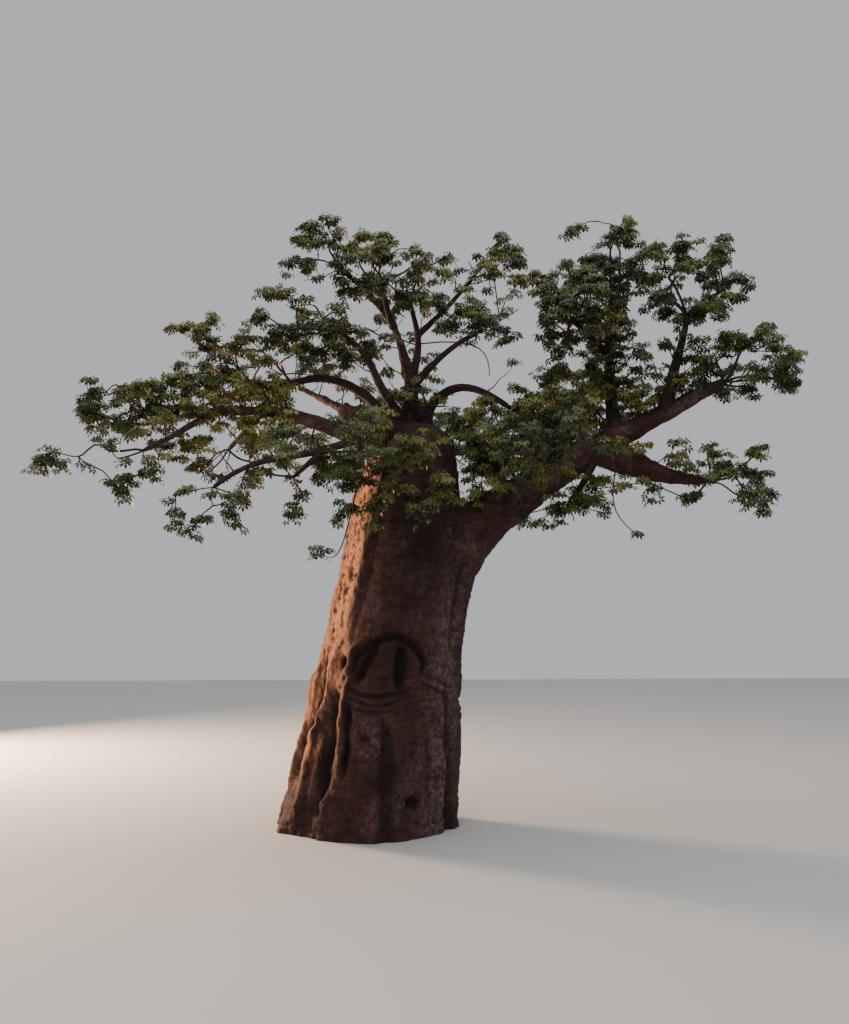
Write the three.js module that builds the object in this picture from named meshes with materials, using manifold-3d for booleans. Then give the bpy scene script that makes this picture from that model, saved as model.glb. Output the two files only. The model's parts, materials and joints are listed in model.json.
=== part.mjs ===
// A baobab in full leaf: a stout leaning trunk with a fluted foot, boughs that fork from its
// blunt head, and masses of foliage at the boughs' tips. Millimetres, +Z up. The origin is the
// middle of the flat cut at ground level, +X is to the right and +Y is away from the viewer.
import * as THREE from "three";
import { mergeVertices } from "three/addons/utils/BufferGeometryUtils.js";
import Module from "manifold-3d";

const wasm = await Module();
wasm.setup();

// Driving dimensions.
const gap = 0.3; // air left between neighbouring solids
const trunkHeight = 6150; // ground to the blunt head where the boughs part
const girthAtFoot = 1240; // mean radius above the root flare
const flareReach = 150; // how much further the root flare stands out at the ground
const flareHeight = 520;
const taperPerMetre = 42;
const extraTaper = 9.2; // the taper grows with height, in mm for each metre squared
const leanPerMetre = 165; // the trunk leans to the right
const leanFade = 8.6; // and straightens as it rises
const depthLean = -10; // a slight lean towards the viewer, for each metre of height
const headRounding = 420; // length of trunk over which its head closes in
const shoulder = { height: 3950, spread: 620, reach: 150 }; // swelling under the great bough
const scarPocket = { middle: [345, -1190, 2480], half: [720, 290, 560] }; // healed scar in front
const scarColumn = { middle: [330, -950, 2330], half: [270, 200, 480] }; // wood grown back in it

// Folds run up the trunk: narrow columns that twist slowly as they rise, and a few broad swells.
const columns = { count: 9, twist: 1900, depth: 0.014, depthOnTheLeft: 0.034 };
const swells = { count: 4, turn: 0.9, depth: 0.026, shareHighUp: 0.4 };
const foldFade = 2600; // height over which the folds grow fainter
// The root flare stands out in toes, made of two waves round the trunk: [count, turn].
const toes = { mean: 0.62, height: 0.3, waves: [[5, 0.5], [3, -2.2]] };

const trunkSides = 30;
const trunkRings = 15;
const headClosing = 0.5; // how far the head closes in, as a share of the square of its radius
const bluntClosing = 0.75; // the same for a blunt limb's end
const bluntFrom = 0.72; // share of a blunt limb's length where its end begins to round
const defaultTaper = 0.9;

// Each limb starts on the middle line of what it grows from: "at" is a height on the trunk or a
// share of the parent's length. Its headings are [degrees round from +X, degrees of rise], at even
// distances along it, and its radius goes from girth to tip.
const limbs = {
  right_great_bough: {
    on: "trunk", at: 3690, length: 5650, girth: 520, tip: 95, sides: 11, rings: 9, taper: 1.25,
    headings: [[0, 36], [-9, 38], [-9, 31], [-7, 27], [-5, 27]],
  },
  right_low_bough: {
    on: "right_great_bough", at: 0.665, length: 1650, girth: 235, tip: 62, sides: 8, rings: 4,
    headings: [[-30, -36], [-34, -22], [-28, -5]],
  },
  right_upper_bough: {
    on: "right_great_bough", at: 0.715, length: 2600, girth: 105, tip: 42, sides: 7, rings: 5,
    headings: [[100, 60], [80, 70], [60, 78]],
  },
  right_upper_fork: {
    on: "right_upper_bough", at: 0.56, length: 1150, girth: 62, tip: 36, sides: 6, rings: 4,
    headings: [[-128, 25], [-128, 12]],
  },
  far_upper_bough: {
    on: "right_great_bough", at: 0.855, length: 1400, girth: 95, tip: 42, sides: 7, rings: 4,
    headings: [[-40, 72], [-35, 76]],
  },
  under_bough: {
    on: "right_great_bough", at: 0.655, length: 950, girth: 66, tip: 36, sides: 6, rings: 4,
    headings: [[-136, -68], [-155, -45]],
  },
  right_front_bough: {
    on: "right_great_bough", at: 0.36, length: 2700, girth: 110, tip: 42, sides: 7, rings: 5,
    headings: [[-84, 5], [-84, 14], [-83, 20]],
  },
  right_back_bough: {
    on: "right_great_bough", at: 0.555, length: 2620, girth: 120, tip: 46, sides: 7, rings: 5,
    headings: [[81, 23], [76, 22]],
  },
  right_inner_bough: {
    on: "right_great_bough", at: 0.375, length: 750, girth: 60, tip: 38, sides: 6, rings: 3,
    headings: [[-123, 58], [-137, 52]],
  },
  arch_bough: {
    on: "trunk", at: 5350, length: 2600, girth: 92, tip: 46, sides: 7, rings: 11,
    headings: [[0, 30], [90, 80], [60, 70], [0, 32], [-20, -22], [-20, -35]],
  },
  crown_bough: {
    on: "trunk", at: 5850, length: 3000, girth: 150, tip: 38, sides: 8, rings: 8, taper: 1.6,
    headings: [[180, 90], [180, 89], [180, 78], [178, 66], [172, 47], [171, 42]],
  },
  crown_mid_bough: {
    on: "crown_bough", at: 0.32, length: 1550, girth: 64, tip: 34, sides: 7, rings: 6,
    headings: [[44, 60], [66, 70], [106, 56], [115, 68]],
  },
  crown_right_bough: {
    on: "crown_bough", at: 0.28, length: 1350, girth: 54, tip: 34, sides: 7, rings: 5,
    headings: [[-27, 45], [-38, 36], [-20, 22]],
  },
  crown_far_bough: {
    on: "crown_mid_bough", at: 0.57, length: 1330, girth: 44, tip: 30, sides: 6, rings: 4,
    headings: [[21, 42], [15, 50]],
  },
  crown_fork_bough: {
    on: "crown_bough", at: 0.62, length: 720, girth: 50, tip: 32, sides: 6, rings: 3,
    headings: [[-113, 40], [-104, 44]],
  },
  crown_back_bough: {
    on: "crown_bough", at: 0.36, length: 2100, girth: 78, tip: 40, sides: 7, rings: 5,
    headings: [[94, 25], [92, 26]],
  },
  head_bough: {
    on: "crown_bough", at: 0.1, length: 440, girth: 60, tip: 40, sides: 6, rings: 2,
    headings: [[-62, 12], [-62, 35]],
  },
  left_shoulder_bough: {
    on: "trunk", at: 5900, length: 2050, girth: 85, tip: 38, sides: 7, rings: 7,
    headings: [[-146, 62], [-149, 50], [-120, 45], [-157, 26]],
  },
  left_upper_bough: {
    on: "trunk", at: 5900, length: 2800, girth: 95, tip: 38, sides: 7, rings: 7,
    headings: [[155, 35], [165, 52], [-175, 22], [-175, -14], [180, 8]],
  },
  left_great_bough: {
    on: "trunk", at: 5780, length: 3860, girth: 170, tip: 44, sides: 8, rings: 8, taper: 1.1,
    headings: [[-175, 8], [-173, 16], [-172, 18], [180, 4], [-170, -8], [180, -14]],
  },
  left_hanging_bough: {
    on: "left_great_bough", at: 0.8, length: 1450, girth: 50, tip: 34, sides: 6, rings: 4,
    headings: [[-127, -28], [-132, -26]],
  },
  left_under_bough: {
    on: "left_great_bough", at: 0.61, length: 1150, girth: 52, tip: 34, sides: 6, rings: 4,
    headings: [[119, -20], [128, -28]],
  },
  left_low_bough: {
    on: "trunk", at: 5950, length: 3740, girth: 84, tip: 32, sides: 7, rings: 9, taper: 1.3,
    headings: [[-122, 8], [-132, -14], [-146, -17], [-152, -11], [-145, -38]],
  },
  left_low_fork: {
    on: "left_low_bough", at: 0.52, length: 670, girth: 42, tip: 30, sides: 6, rings: 2,
    headings: [[-135, -38], [-136, -36]],
  },
  front_bough: {
    on: "trunk", at: 5800, length: 3050, girth: 135, tip: 42, sides: 8, rings: 5,
    headings: [[-99, 4], [-103, -16], [-111, -2]],
  },
  front_droop_bough: {
    on: "front_bough", at: 0.53, length: 430, girth: 58, tip: 42, sides: 6, rings: 2,
    headings: [[-110, -38], [-110, -42]],
  },
  back_bough: {
    on: "trunk", at: 5850, length: 2880, girth: 150, tip: 46, sides: 8, rings: 4,
    headings: [[83, 16], [91, 7]],
  },
  back_left_bough: {
    on: "trunk", at: 5900, length: 3170, girth: 130, tip: 46, sides: 7, rings: 4,
    headings: [[126, 20], [132, 23]],
  },
  back_right_bough: {
    on: "trunk", at: 5700, length: 2430, girth: 120, tip: 44, sides: 7, rings: 4,
    headings: [[59, 5], [53, 11]],
  },
  stump: {
    on: "trunk", at: 5650, length: 1330, girth: 330, tip: 225, sides: 8, rings: 5, blunt: true,
    headings: [[-172, 26], [-172, 44]],
  },
};

// Each mass of foliage fills a space of its own, an ellipsoid of these half sizes round its middle.
const masses = {
  left_tip_foliage: { from: "left_great_bough", middle: [-3750, -500, 6280], half: [850, 850, 520] },
  left_hanging_foliage: { from: "left_hanging_bough", middle: [-3850, -1600, 5420], half: [960, 800, 420] },
  left_crest_foliage: { from: "left_upper_bough", middle: [-2300, 200, 7110], half: [950, 950, 620] },
  left_shoulder_foliage: { from: "left_shoulder_bough", middle: [-840, -800, 7560], half: [850, 950, 540] },
  left_under_foliage: { from: "left_under_bough", middle: [-2480, 900, 5610], half: [900, 900, 540] },
  left_low_foliage: { from: "left_low_bough", middle: [-2310, -2450, 4860], half: [620, 850, 440] },
  left_low_inner_foliage: { from: "left_low_fork", middle: [-1200, -1950, 5050], half: [630, 800, 410] },
  front_centre_foliage: { from: "front_droop_bough", middle: [250, -2050, 5120], half: [980, 800, 620] },
  front_far_foliage: { from: "front_bough", middle: [-480, -3600, 5580], half: [850, 1050, 440] },
  crown_left_foliage: { from: "crown_bough", middle: [-730, 100, 8850], half: [500, 700, 680] },
  crown_top_foliage: { from: "crown_fork_bough", middle: [170, -600, 8500], half: [740, 850, 610] },
  crown_mid_foliage: { from: "crown_mid_bough", middle: [780, 800, 8720], half: [690, 850, 580] },
  crown_far_foliage: { from: "crown_far_bough", middle: [2120, 700, 8880], half: [640, 800, 450] },
  crown_right_foliage: { from: "crown_right_bough", middle: [1960, -600, 7700], half: [740, 800, 380] },
  crown_back_foliage: { from: "crown_back_bough", middle: [540, 2700, 8250], half: [960, 1000, 680] },
  head_foliage: { from: "head_bough", middle: [940, -600, 6560], half: [640, 650, 350] },
  right_inner_foliage: { from: "right_inner_bough", middle: [1840, -420, 5900], half: [620, 800, 500] },
  right_mid_foliage: { from: "arch_bough", middle: [2880, 0, 6500], half: [780, 900, 560] },
  right_under_foliage: { from: "under_bough", middle: [2980, -600, 4820], half: [830, 650, 330] },
  right_upper_foliage: { from: "right_upper_fork", middle: [2950, -800, 7800], half: [680, 900, 740] },
  right_crest_foliage: { from: "right_upper_bough", middle: [4020, 500, 8900], half: [760, 900, 680] },
  far_upper_foliage: { from: "far_upper_bough", middle: [4950, -700, 8230], half: [830, 1000, 730] },
  far_end_foliage: { from: "right_great_bough", middle: [5870, -600, 6970], half: [820, 1100, 640] },
  far_low_foliage: { from: "right_low_bough", middle: [5310, -1300, 5170], half: [800, 950, 500] },
  right_front_foliage: { from: "right_front_bough", middle: [2450, -3200, 5680], half: [900, 1200, 490] },
  right_back_foliage: { from: "right_back_bough", middle: [3820, 2900, 6950], half: [1020, 1250, 680] },
  back_far_foliage: { from: "back_bough", middle: [740, 3650, 6600], half: [1200, 1200, 560] },
  back_left_foliage: { from: "back_left_bough", middle: [-1850, 2950, 7450], half: [1150, 1250, 680] },
  back_right_foliage: { from: "back_right_bough", middle: [2420, 2600, 6300], half: [900, 1100, 520] },
};

// How a mass grows.
const spraysPerSquareMetre = 1.86; // twig ends, for the area of the space seen from the side and above
const triesPerEnd = 12; // places tried for each of them
const leavesPerSpray = 4;
const leafSizes = [1, 0.85, 0.7, 0.55]; // tried in turn until a leaf fits
const leafLength = 720;
const leafWidth = 560;
const leafTries = 14; // headings tried at a twig's end
const leafRoll = 1.1; // radians that it may be turned to either side
const rollStep = 2.7; // how the turn differs from leaf to leaf
const rollShift = 1.9; // and from mass to mass
const leafThickness = 0.05; // share of its length, at its thickest
const leafArch = 0.08; // how far its middle stands above root and tip, as a share of its length
const leafBroadest = 0.58; // where along it a leaf is broadest
const leafStep = 55; // how far apart along the twig their roots lie
const leafApart = 85; // from here on a leaf is clear of every other
const twigRadius = 17; // at the ends
const twigGrowth = 8; // and this much more for each further spray carried, as a square root
const twigForkShare = 0.75; // thickest that a twig may be where it leaves another
const twigFlare = 1.1; // how much thicker a twig is where it starts than where it ends
const twigSink = 0.6; // how far it runs on into the next, in radii
const stem = { foot: 0.9, knee: 0.7, length: 2 }; // of a mass, in radii of its bough's tip
const sprayShell = [0.25, 0.66]; // where the twigs end, as shares of the way out to the space's edge
const spaceSlack = 1.12; // leaves may stand this far past the ellipsoid
const pathShare = 0.45; // how much a long way back to the stem counts against a twig
const testShares = [0.25, 0.5, 0.75, 1]; // where along a twig its room is tested
const limbRoom = 40; // air kept round limbs
const massRoom = 14; // air kept at the border between two masses

const barkColour = new THREE.Color(0x8a6450);
const paleBarkColour = new THREE.Color(0x9a7a66);
const leafColour = new THREE.Color(0x4c5f26);

const radians = THREE.MathUtils.degToRad;
const up = new THREE.Vector3(0, 0, 1);

// The direction of a heading.
function direction([round, rise]) {
  const level = Math.cos(radians(rise));
  return new THREE.Vector3(
    level * Math.cos(radians(round)),
    level * Math.sin(radians(round)),
    Math.sin(radians(rise)),
  );
}

// The point at a share of the way along a line of evenly spaced points.
function pointAlong(line, share) {
  const place = THREE.MathUtils.clamp(share, 0, 1) * (line.length - 1);
  const before = Math.min(Math.floor(place), line.length - 2);
  return line[before].clone().lerp(line[before + 1], place - before);
}

// The trunk's middle line and its radius at a height.
function trunkMiddle(height) {
  const metres = height / 1000;
  return new THREE.Vector3(
    leanPerMetre * metres - leanFade * metres * metres,
    depthLean * metres,
    height,
  );
}

function trunkGirth(height) {
  const metres = height / 1000;
  return girthAtFoot - taperPerMetre * metres - extraTaper * metres * metres;
}

// Folds that run up the trunk, deepest at the foot and on the left, where they stand like columns.
function trunkFolds(round, height) {
  const fade = Math.exp(-height / foldFade);
  const left = 0.5 - 0.5 * Math.cos(round);
  const depth = columns.depth + columns.depthOnTheLeft * left * fade;
  const narrow = depth * Math.cos(columns.count * round + height / columns.twist);
  const swell = swells.depth * THREE.MathUtils.lerp(swells.shareHighUp, 1, fade);
  return 1 + narrow + swell * Math.cos(swells.count * round + swells.turn);
}

// The toes of the root flare.
function trunkFlare(round, height) {
  const waves = toes.waves.reduce((sum, [count, turn]) => sum + Math.cos(count * round + turn), 0);
  return flareReach * (toes.mean + toes.height * waves) * Math.exp(-height / flareHeight);
}

// The trunk's surface at an angle and height.
function trunkRadius(round, height) {
  const body = trunkGirth(height) * trunkFolds(round, height);
  const swelling = shoulder.reach * Math.exp(-(((height - shoulder.height) / shoulder.spread) ** 2));
  const closing = THREE.MathUtils.clamp((height - (trunkHeight - headRounding)) / headRounding, 0, 1);
  const crown = Math.sqrt(1 - headClosing * closing * closing);
  return (body + trunkFlare(round, height) + swelling * Math.max(0, Math.cos(round)) ** 2) * crown;
}

// Turns a closed three.js geometry into a solid.
function solidOf(geometry) {
  const bare = geometry.clone();
  bare.deleteAttribute("normal");
  bare.deleteAttribute("uv");
  const merged = mergeVertices(bare, 1e-3);
  return new wasm.Manifold(
    new wasm.Mesh({
      numProp: 3,
      vertProperties: new Float32Array(merged.attributes.position.array),
      triVerts: new Uint32Array(merged.index.array),
    }),
  );
}

// Turns a solid back into a three.js geometry.
function geometryOf(solid) {
  const mesh = solid.getMesh();
  const positions = new Float32Array(mesh.numVert * 3);
  for (let i = 0; i < mesh.numVert; i++) {
    positions.set(mesh.vertProperties.subarray(i * mesh.numProp, i * mesh.numProp + 3), i * 3);
  }
  const geometry = new THREE.BufferGeometry();
  geometry.setAttribute("position", new THREE.BufferAttribute(positions, 3));
  geometry.setIndex(new THREE.BufferAttribute(new Uint32Array(mesh.triVerts), 1));
  geometry.computeVertexNormals();
  return geometry;
}

// The biggest of a solid's separate bodies.
function largestBody(solid) {
  return solid.decompose().reduce((a, b) => (a.volume() > b.volume() ? a : b));
}

// Bends a cylinder of unit radius and height so that each of its points goes where place says.
function bentCylinder(sides, rings, place) {
  const geometry = new THREE.CylinderGeometry(1, 1, 1, sides, rings);
  const position = geometry.getAttribute("position");
  for (let i = 0; i < position.count; i++) {
    const out = Math.hypot(position.getX(i), position.getZ(i));
    const round = Math.atan2(-position.getZ(i), position.getX(i));
    position.setXYZ(i, ...place(position.getY(i) + 0.5, round, out).toArray());
  }
  return geometry;
}

function trunkSolid(clearance) {
  const place = (share, round, out) => {
    const height = share * trunkHeight;
    const radius = out * (trunkRadius(round, height) + clearance);
    const middle = trunkMiddle(height);
    middle.z += share === 1 ? clearance : 0;
    return middle.add(new THREE.Vector3(Math.cos(round), Math.sin(round), 0).multiplyScalar(radius));
  };
  return solidOf(bentCylinder(trunkSides, trunkRings, place));
}

// An ellipsoid's solid.
function ellipsoid({ middle, half }, across, down) {
  const geometry = new THREE.SphereGeometry(1, across, down);
  geometry.rotateX(Math.PI / 2);
  geometry.scale(...half);
  geometry.translate(...middle);
  return solidOf(geometry);
}

// A limb's middle line, found by walking along its headings.
const stepsPerLine = 24;
const lines = {};

function headingAt(limb, share) {
  const place = Math.min(Math.max(share, 0), 1) * (limb.headings.length - 1);
  const before = Math.min(Math.floor(place), limb.headings.length - 2);
  const from = direction(limb.headings[before]);
  const to = direction(limb.headings[before + 1]);
  return from.lerp(to, place - before).normalize();
}

function lineOf(limb) {
  const start = limb.on === "trunk" ? trunkMiddle(limb.at) : pointAlong(lines[limb.on], limb.at);
  const line = [start];
  for (let i = 0; i < stepsPerLine; i++) {
    const heading = headingAt(limb, (i + 0.5) / stepsPerLine);
    line.push(line[i].clone().addScaledVector(heading, limb.length / stepsPerLine));
  }
  return line;
}

function limbRadius(limb, share) {
  const body = limb.tip + (limb.girth - limb.tip) * (1 - share) ** (limb.taper ?? defaultTaper);
  if (!limb.blunt) return body;
  return body * Math.sqrt(1 - bluntClosing * THREE.MathUtils.smoothstep(share, bluntFrom, 1));
}

function limbSolid(limb, line, clearance) {
  const place = (share, round, out) => {
    const heading = headingAt(limb, share);
    const radius = out * (limbRadius(limb, share) + clearance);
    return new THREE.Vector3(Math.cos(round), Math.sin(round), 0)
      .multiplyScalar(radius)
      .applyQuaternion(new THREE.Quaternion().setFromUnitVectors(up, heading))
      .add(pointAlong(line, share))
      .addScaledVector(heading, share === 1 ? clearance : 0);
  };
  return solidOf(bentCylinder(limb.sides, limb.rings, place));
}

const bark = new THREE.MeshStandardMaterial({ color: barkColour, roughness: 0.9, metalness: 0 });
const limbBark = new THREE.MeshStandardMaterial({ color: paleBarkColour, roughness: 0.9, metalness: 0 });
const leafGreen = new THREE.MeshStandardMaterial({ color: leafColour, roughness: 0.6, metalness: 0 });

const tree = new THREE.Group();

function addNode(name, solid, material) {
  const mesh = new THREE.Mesh(geometryOf(solid), material);
  mesh.name = name;
  tree.add(mesh);
}

// Trunk and limbs. A limb is cut clear of everything that was there before it.
const pocket = ellipsoid(scarPocket, 14, 12);
const column = ellipsoid(scarColumn, 8, 8);
addNode("trunk", trunkSolid(0).subtract(pocket).add(column).simplify(0.5), bark);
const cutters = [trunkSolid(gap)];
for (const [name, limb] of Object.entries(limbs)) {
  lines[name] = lineOf(limb);
  let solid = limbSolid(limb, lines[name], 0);
  for (const cutter of cutters) {
    solid = solid.subtract(cutter);
  }
  addNode(name, largestBody(solid).simplify(0.05), limbBark);
  cutters.push(limbSolid(limb, lines[name], gap));
}

// Every limb's line with its radii, for keeping leaves off it.
const bars = Object.entries(limbs).map(([name, limb]) => ({
  line: lines[name],
  radii: lines[name].map((point, i) => limbRadius(limb, i / stepsPerLine)),
}));

function touchesLimb(point, room) {
  const closest = new THREE.Vector3();
  return bars.some(({ line, radii }) =>
    line.slice(1).some((end, i) => {
      new THREE.Line3(line[i], end).closestPointToPoint(point, true, closest);
      return closest.distanceTo(point) < radii[i] + room;
    }),
  );
}

function touchesTrunk(point, room) {
  if (point.z > trunkHeight + room) return false;
  const height = Math.min(point.z, trunkHeight);
  const offset = point.clone().sub(trunkMiddle(height));
  const radius = trunkRadius(Math.atan2(offset.y, offset.x), height);
  return Math.hypot(offset.x, offset.y) < radius + room;
}

// How far a mass's ellipsoid reaches from its middle in a direction.
function reachOf(mass, way) {
  return 1 / Math.hypot(way.x / mass.half[0], way.y / mass.half[1], way.z / mass.half[2]);
}

// A point is free for a mass if it is in the ellipsoid, off the wood, and nearer than its neighbours.
function isFree(name, point, slack) {
  const mass = masses[name];
  const middle = new THREE.Vector3(...mass.middle);
  const offset = point.clone().sub(middle);
  const out = Math.hypot(...offset.toArray().map((value, axis) => value / mass.half[axis]));
  if (out > slack || touchesTrunk(point, limbRoom) || touchesLimb(point, limbRoom)) return false;
  return Object.entries(masses).every(([otherName, other]) => {
    if (otherName === name) return true;
    const way = new THREE.Vector3(...other.middle).sub(middle);
    const distance = way.length();
    way.divideScalar(distance);
    const own = reachOf(mass, way);
    const border = (distance * own) / (own + reachOf(other, way));
    return offset.dot(way) < border - massRoom;
  });
}

// Evenly spread numbers from 0 to 1, three for each index, shifted by a mass's own seed.
const spreadSteps = [0.8191725134, 0.6710436067, 0.5497004779];
const seedShifts = [0.137, 0.348, 0.559];
function spread(index, seed) {
  return spreadSteps.map((step, axis) => (seed * seedShifts[axis] + (index + 1) * step) % 1);
}

// Where a mass's twigs are to end.
function sprayEnds(name, seed) {
  const { middle, half } = masses[name];
  const area = (Math.PI * (half[0] * half[1] + half[0] * half[2] + half[1] * half[2])) / 3e6;
  const wanted = Math.round(spraysPerSquareMetre * area);
  const ends = [];
  for (let i = 0; ends.length < wanted && i < triesPerEnd * wanted; i++) {
    const [out, tall, round] = spread(i, seed);
    const share = THREE.MathUtils.lerp(sprayShell[0], sprayShell[1], Math.sqrt(out));
    const height = 1 - 2 * tall;
    const level = Math.sqrt(1 - height * height);
    const end = new THREE.Vector3(
      middle[0] + half[0] * share * level * Math.cos(2 * Math.PI * round),
      middle[1] + half[1] * share * level * Math.sin(2 * Math.PI * round),
      middle[2] + half[2] * share * height,
    );
    if (isFree(name, end, 1)) ends.push(end);
  }
  return ends;
}

// A twig may run from one point to another if it stays in the space and off the limbs.
function wayIsClear(from, to, name) {
  return testShares.every((share) => {
    return isFree(name, from.clone().lerp(to, share), spaceSlack);
  });
}

// Joins each end to the twigs so far where the way is short, both to them and on to the stem.
function growTwigs(knee, ends, name) {
  const joints = [{ point: knee, path: 0, parent: null, load: 0 }];
  const waiting = [...ends];
  while (waiting.length) {
    let best = null;
    waiting.forEach((end, index) =>
      joints.forEach((joint) => {
        const cost = end.distanceTo(joint.point) + pathShare * joint.path;
        if (best && cost >= best.cost) return;
        if (wayIsClear(joint.point, end, name)) best = { cost, index, joint };
      }),
    );
    if (!best) break;
    const [end] = waiting.splice(best.index, 1);
    const path = best.joint.path + end.distanceTo(best.joint.point);
    joints.push({ point: end, path, parent: best.joint, load: 0 });
  }
  for (const joint of joints.slice(1)) {
    for (let at = joint; at; at = at.parent) at.load += 1;
  }
  return joints;
}

// A joint's twig is as thick as what it carries asks, and no thicker than the joint before allows.
function setThickness(joints, kneeRadius) {
  joints[0].radius = kneeRadius;
  for (const joint of joints.slice(1)) {
    const wanted = twigRadius + twigGrowth * Math.sqrt(joint.load - 1);
    joint.start = Math.min(twigFlare * wanted, twigForkShare * joint.parent.radius);
    joint.radius = Math.min(wanted, joint.start);
  }
}

// A three-sided twig between two points, run on a little at its end so that it sinks in.
function twigSolid(from, to, fromRadius, toRadius) {
  const geometry = new THREE.CylinderGeometry(toRadius, fromRadius, 1, 3, 1);
  const way = to.clone().sub(from);
  const length = way.length() + twigSink * toRadius;
  way.normalize();
  geometry.scale(1, length, 1);
  geometry.translate(0, length / 2, 0);
  geometry.applyQuaternion(new THREE.Quaternion().setFromUnitVectors(new THREE.Vector3(0, 1, 0), way));
  geometry.translate(...from.toArray());
  return solidOf(geometry);
}

// A leaf of eight faces: an octahedron drawn out from its root, flattened and arched.
function leafGeometry(root, heading, roll, size, rootShift) {
  const geometry = new THREE.OctahedronGeometry(1, 0);
  const position = geometry.getAttribute("position");
  const side = new THREE.Vector3().crossVectors(up, heading).normalize().applyAxisAngle(heading, roll);
  const top = new THREE.Vector3().crossVectors(heading, side);
  for (let i = 0; i < position.count; i++) {
    const [along, across, above] = [position.getX(i), position.getY(i), position.getZ(i)];
    const forward = along < -0.5 ? rootShift : size * leafLength * (along > 0.5 ? 1 : leafBroadest);
    const arch = Math.abs(along) < 0.5 ? leafArch : 0;
    const point = root
      .clone()
      .addScaledVector(heading, forward)
      .addScaledVector(side, (size * across * leafWidth) / 2)
      .addScaledVector(top, size * leafLength * (arch + (above * leafThickness) / 2));
    position.setXYZ(i, ...point.toArray());
  }
  return geometry;
}

function leafFits(geometry, name) {
  const position = geometry.getAttribute("position");
  const points = [];
  for (let i = 0; i < position.count; i += 3) {
    const [a, b, c] = [0, 1, 2].map((k) => new THREE.Vector3().fromBufferAttribute(position, i + k));
    const centre = a.clone().add(b).add(c).divideScalar(3);
    points.push(a, b, c, centre, a.clone().lerp(b, 0.5), b.clone().lerp(c, 0.5), c.clone().lerp(a, 0.5));
  }
  return points.every((point) => isFree(name, point, spaceSlack));
}

// The leaves at a twig's end stand round its outward heading and lean out and a little down.
const goldenTurn = Math.PI * (3 - Math.sqrt(5));
const outwardPull = 0.7; // of the way out from the mass's middle, against the twig's own way
const lean = { mean: 0.55, change: 0.3, step: 2.1 }; // along that way
const sideRise = 0.7; // how far leaves spread up and down, against to the sides
const leafDroop = 0.15;
function leafHeading(outward, along, i, seed) {
  const axis = outward.clone().multiplyScalar(outwardPull).add(along).normalize();
  const side = new THREE.Vector3().crossVectors(up, axis).normalize();
  const top = new THREE.Vector3().crossVectors(axis, side);
  const round = goldenTurn * i + seed;
  const heading = axis
    .clone()
    .multiplyScalar(lean.mean + lean.change * Math.cos(lean.step * i + seed))
    .addScaledVector(side, Math.cos(round))
    .addScaledVector(top, sideRise * Math.sin(round));
  heading.z -= leafDroop;
  return heading.normalize();
}

function massSolid(name, seed) {
  const middle = new THREE.Vector3(...masses[name].middle);
  const { from } = masses[name];
  const tip = pointAlong(lines[from], 1);
  const heading = headingAt(limbs[from], 1);
  const tipRadius = limbs[from].tip;
  const foot = tip.clone().addScaledVector(heading, gap);
  const knee = foot.clone().addScaledVector(heading, stem.length * tipRadius);
  const joints = growTwigs(knee, sprayEnds(name, seed), name);
  setThickness(joints, stem.knee * tipRadius);
  const twigs = [twigSolid(foot, knee, stem.foot * tipRadius, stem.knee * tipRadius)];
  for (const joint of joints.slice(1)) {
    twigs.push(twigSolid(joint.parent.point, joint.point, joint.start, joint.radius));
  }
  let solid = wasm.Manifold.union(twigs);
  for (const joint of joints.slice(1)) {
    const outward = joint.point.clone().sub(middle).normalize();
    const along = joint.point.clone().sub(joint.parent.point).normalize();
    let placed = 0;
    for (let i = 0; placed < leavesPerSpray && i < leafTries; i++) {
      const way = leafHeading(outward, along, i, seed);
      const roll = leafRoll * Math.sin(rollStep * i + rollShift * seed);
      const root = joint.point.clone().addScaledVector(along, -leafStep * placed);
      for (const size of leafSizes) {
        const blade = leafGeometry(root, way, roll, size, leafApart);
        if (!leafFits(blade, name) || !solidOf(blade).intersect(solid).isEmpty()) continue;
        solid = solid.add(solidOf(leafGeometry(root, way, roll, size, 0)));
        placed += 1;
        break;
      }
    }
  }
  return largestBody(solid).simplify(1);
}

Object.keys(masses).forEach((name, index) => addNode(name, massSolid(name, index + 1), leafGreen));

export default tree;
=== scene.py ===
import json

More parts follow.
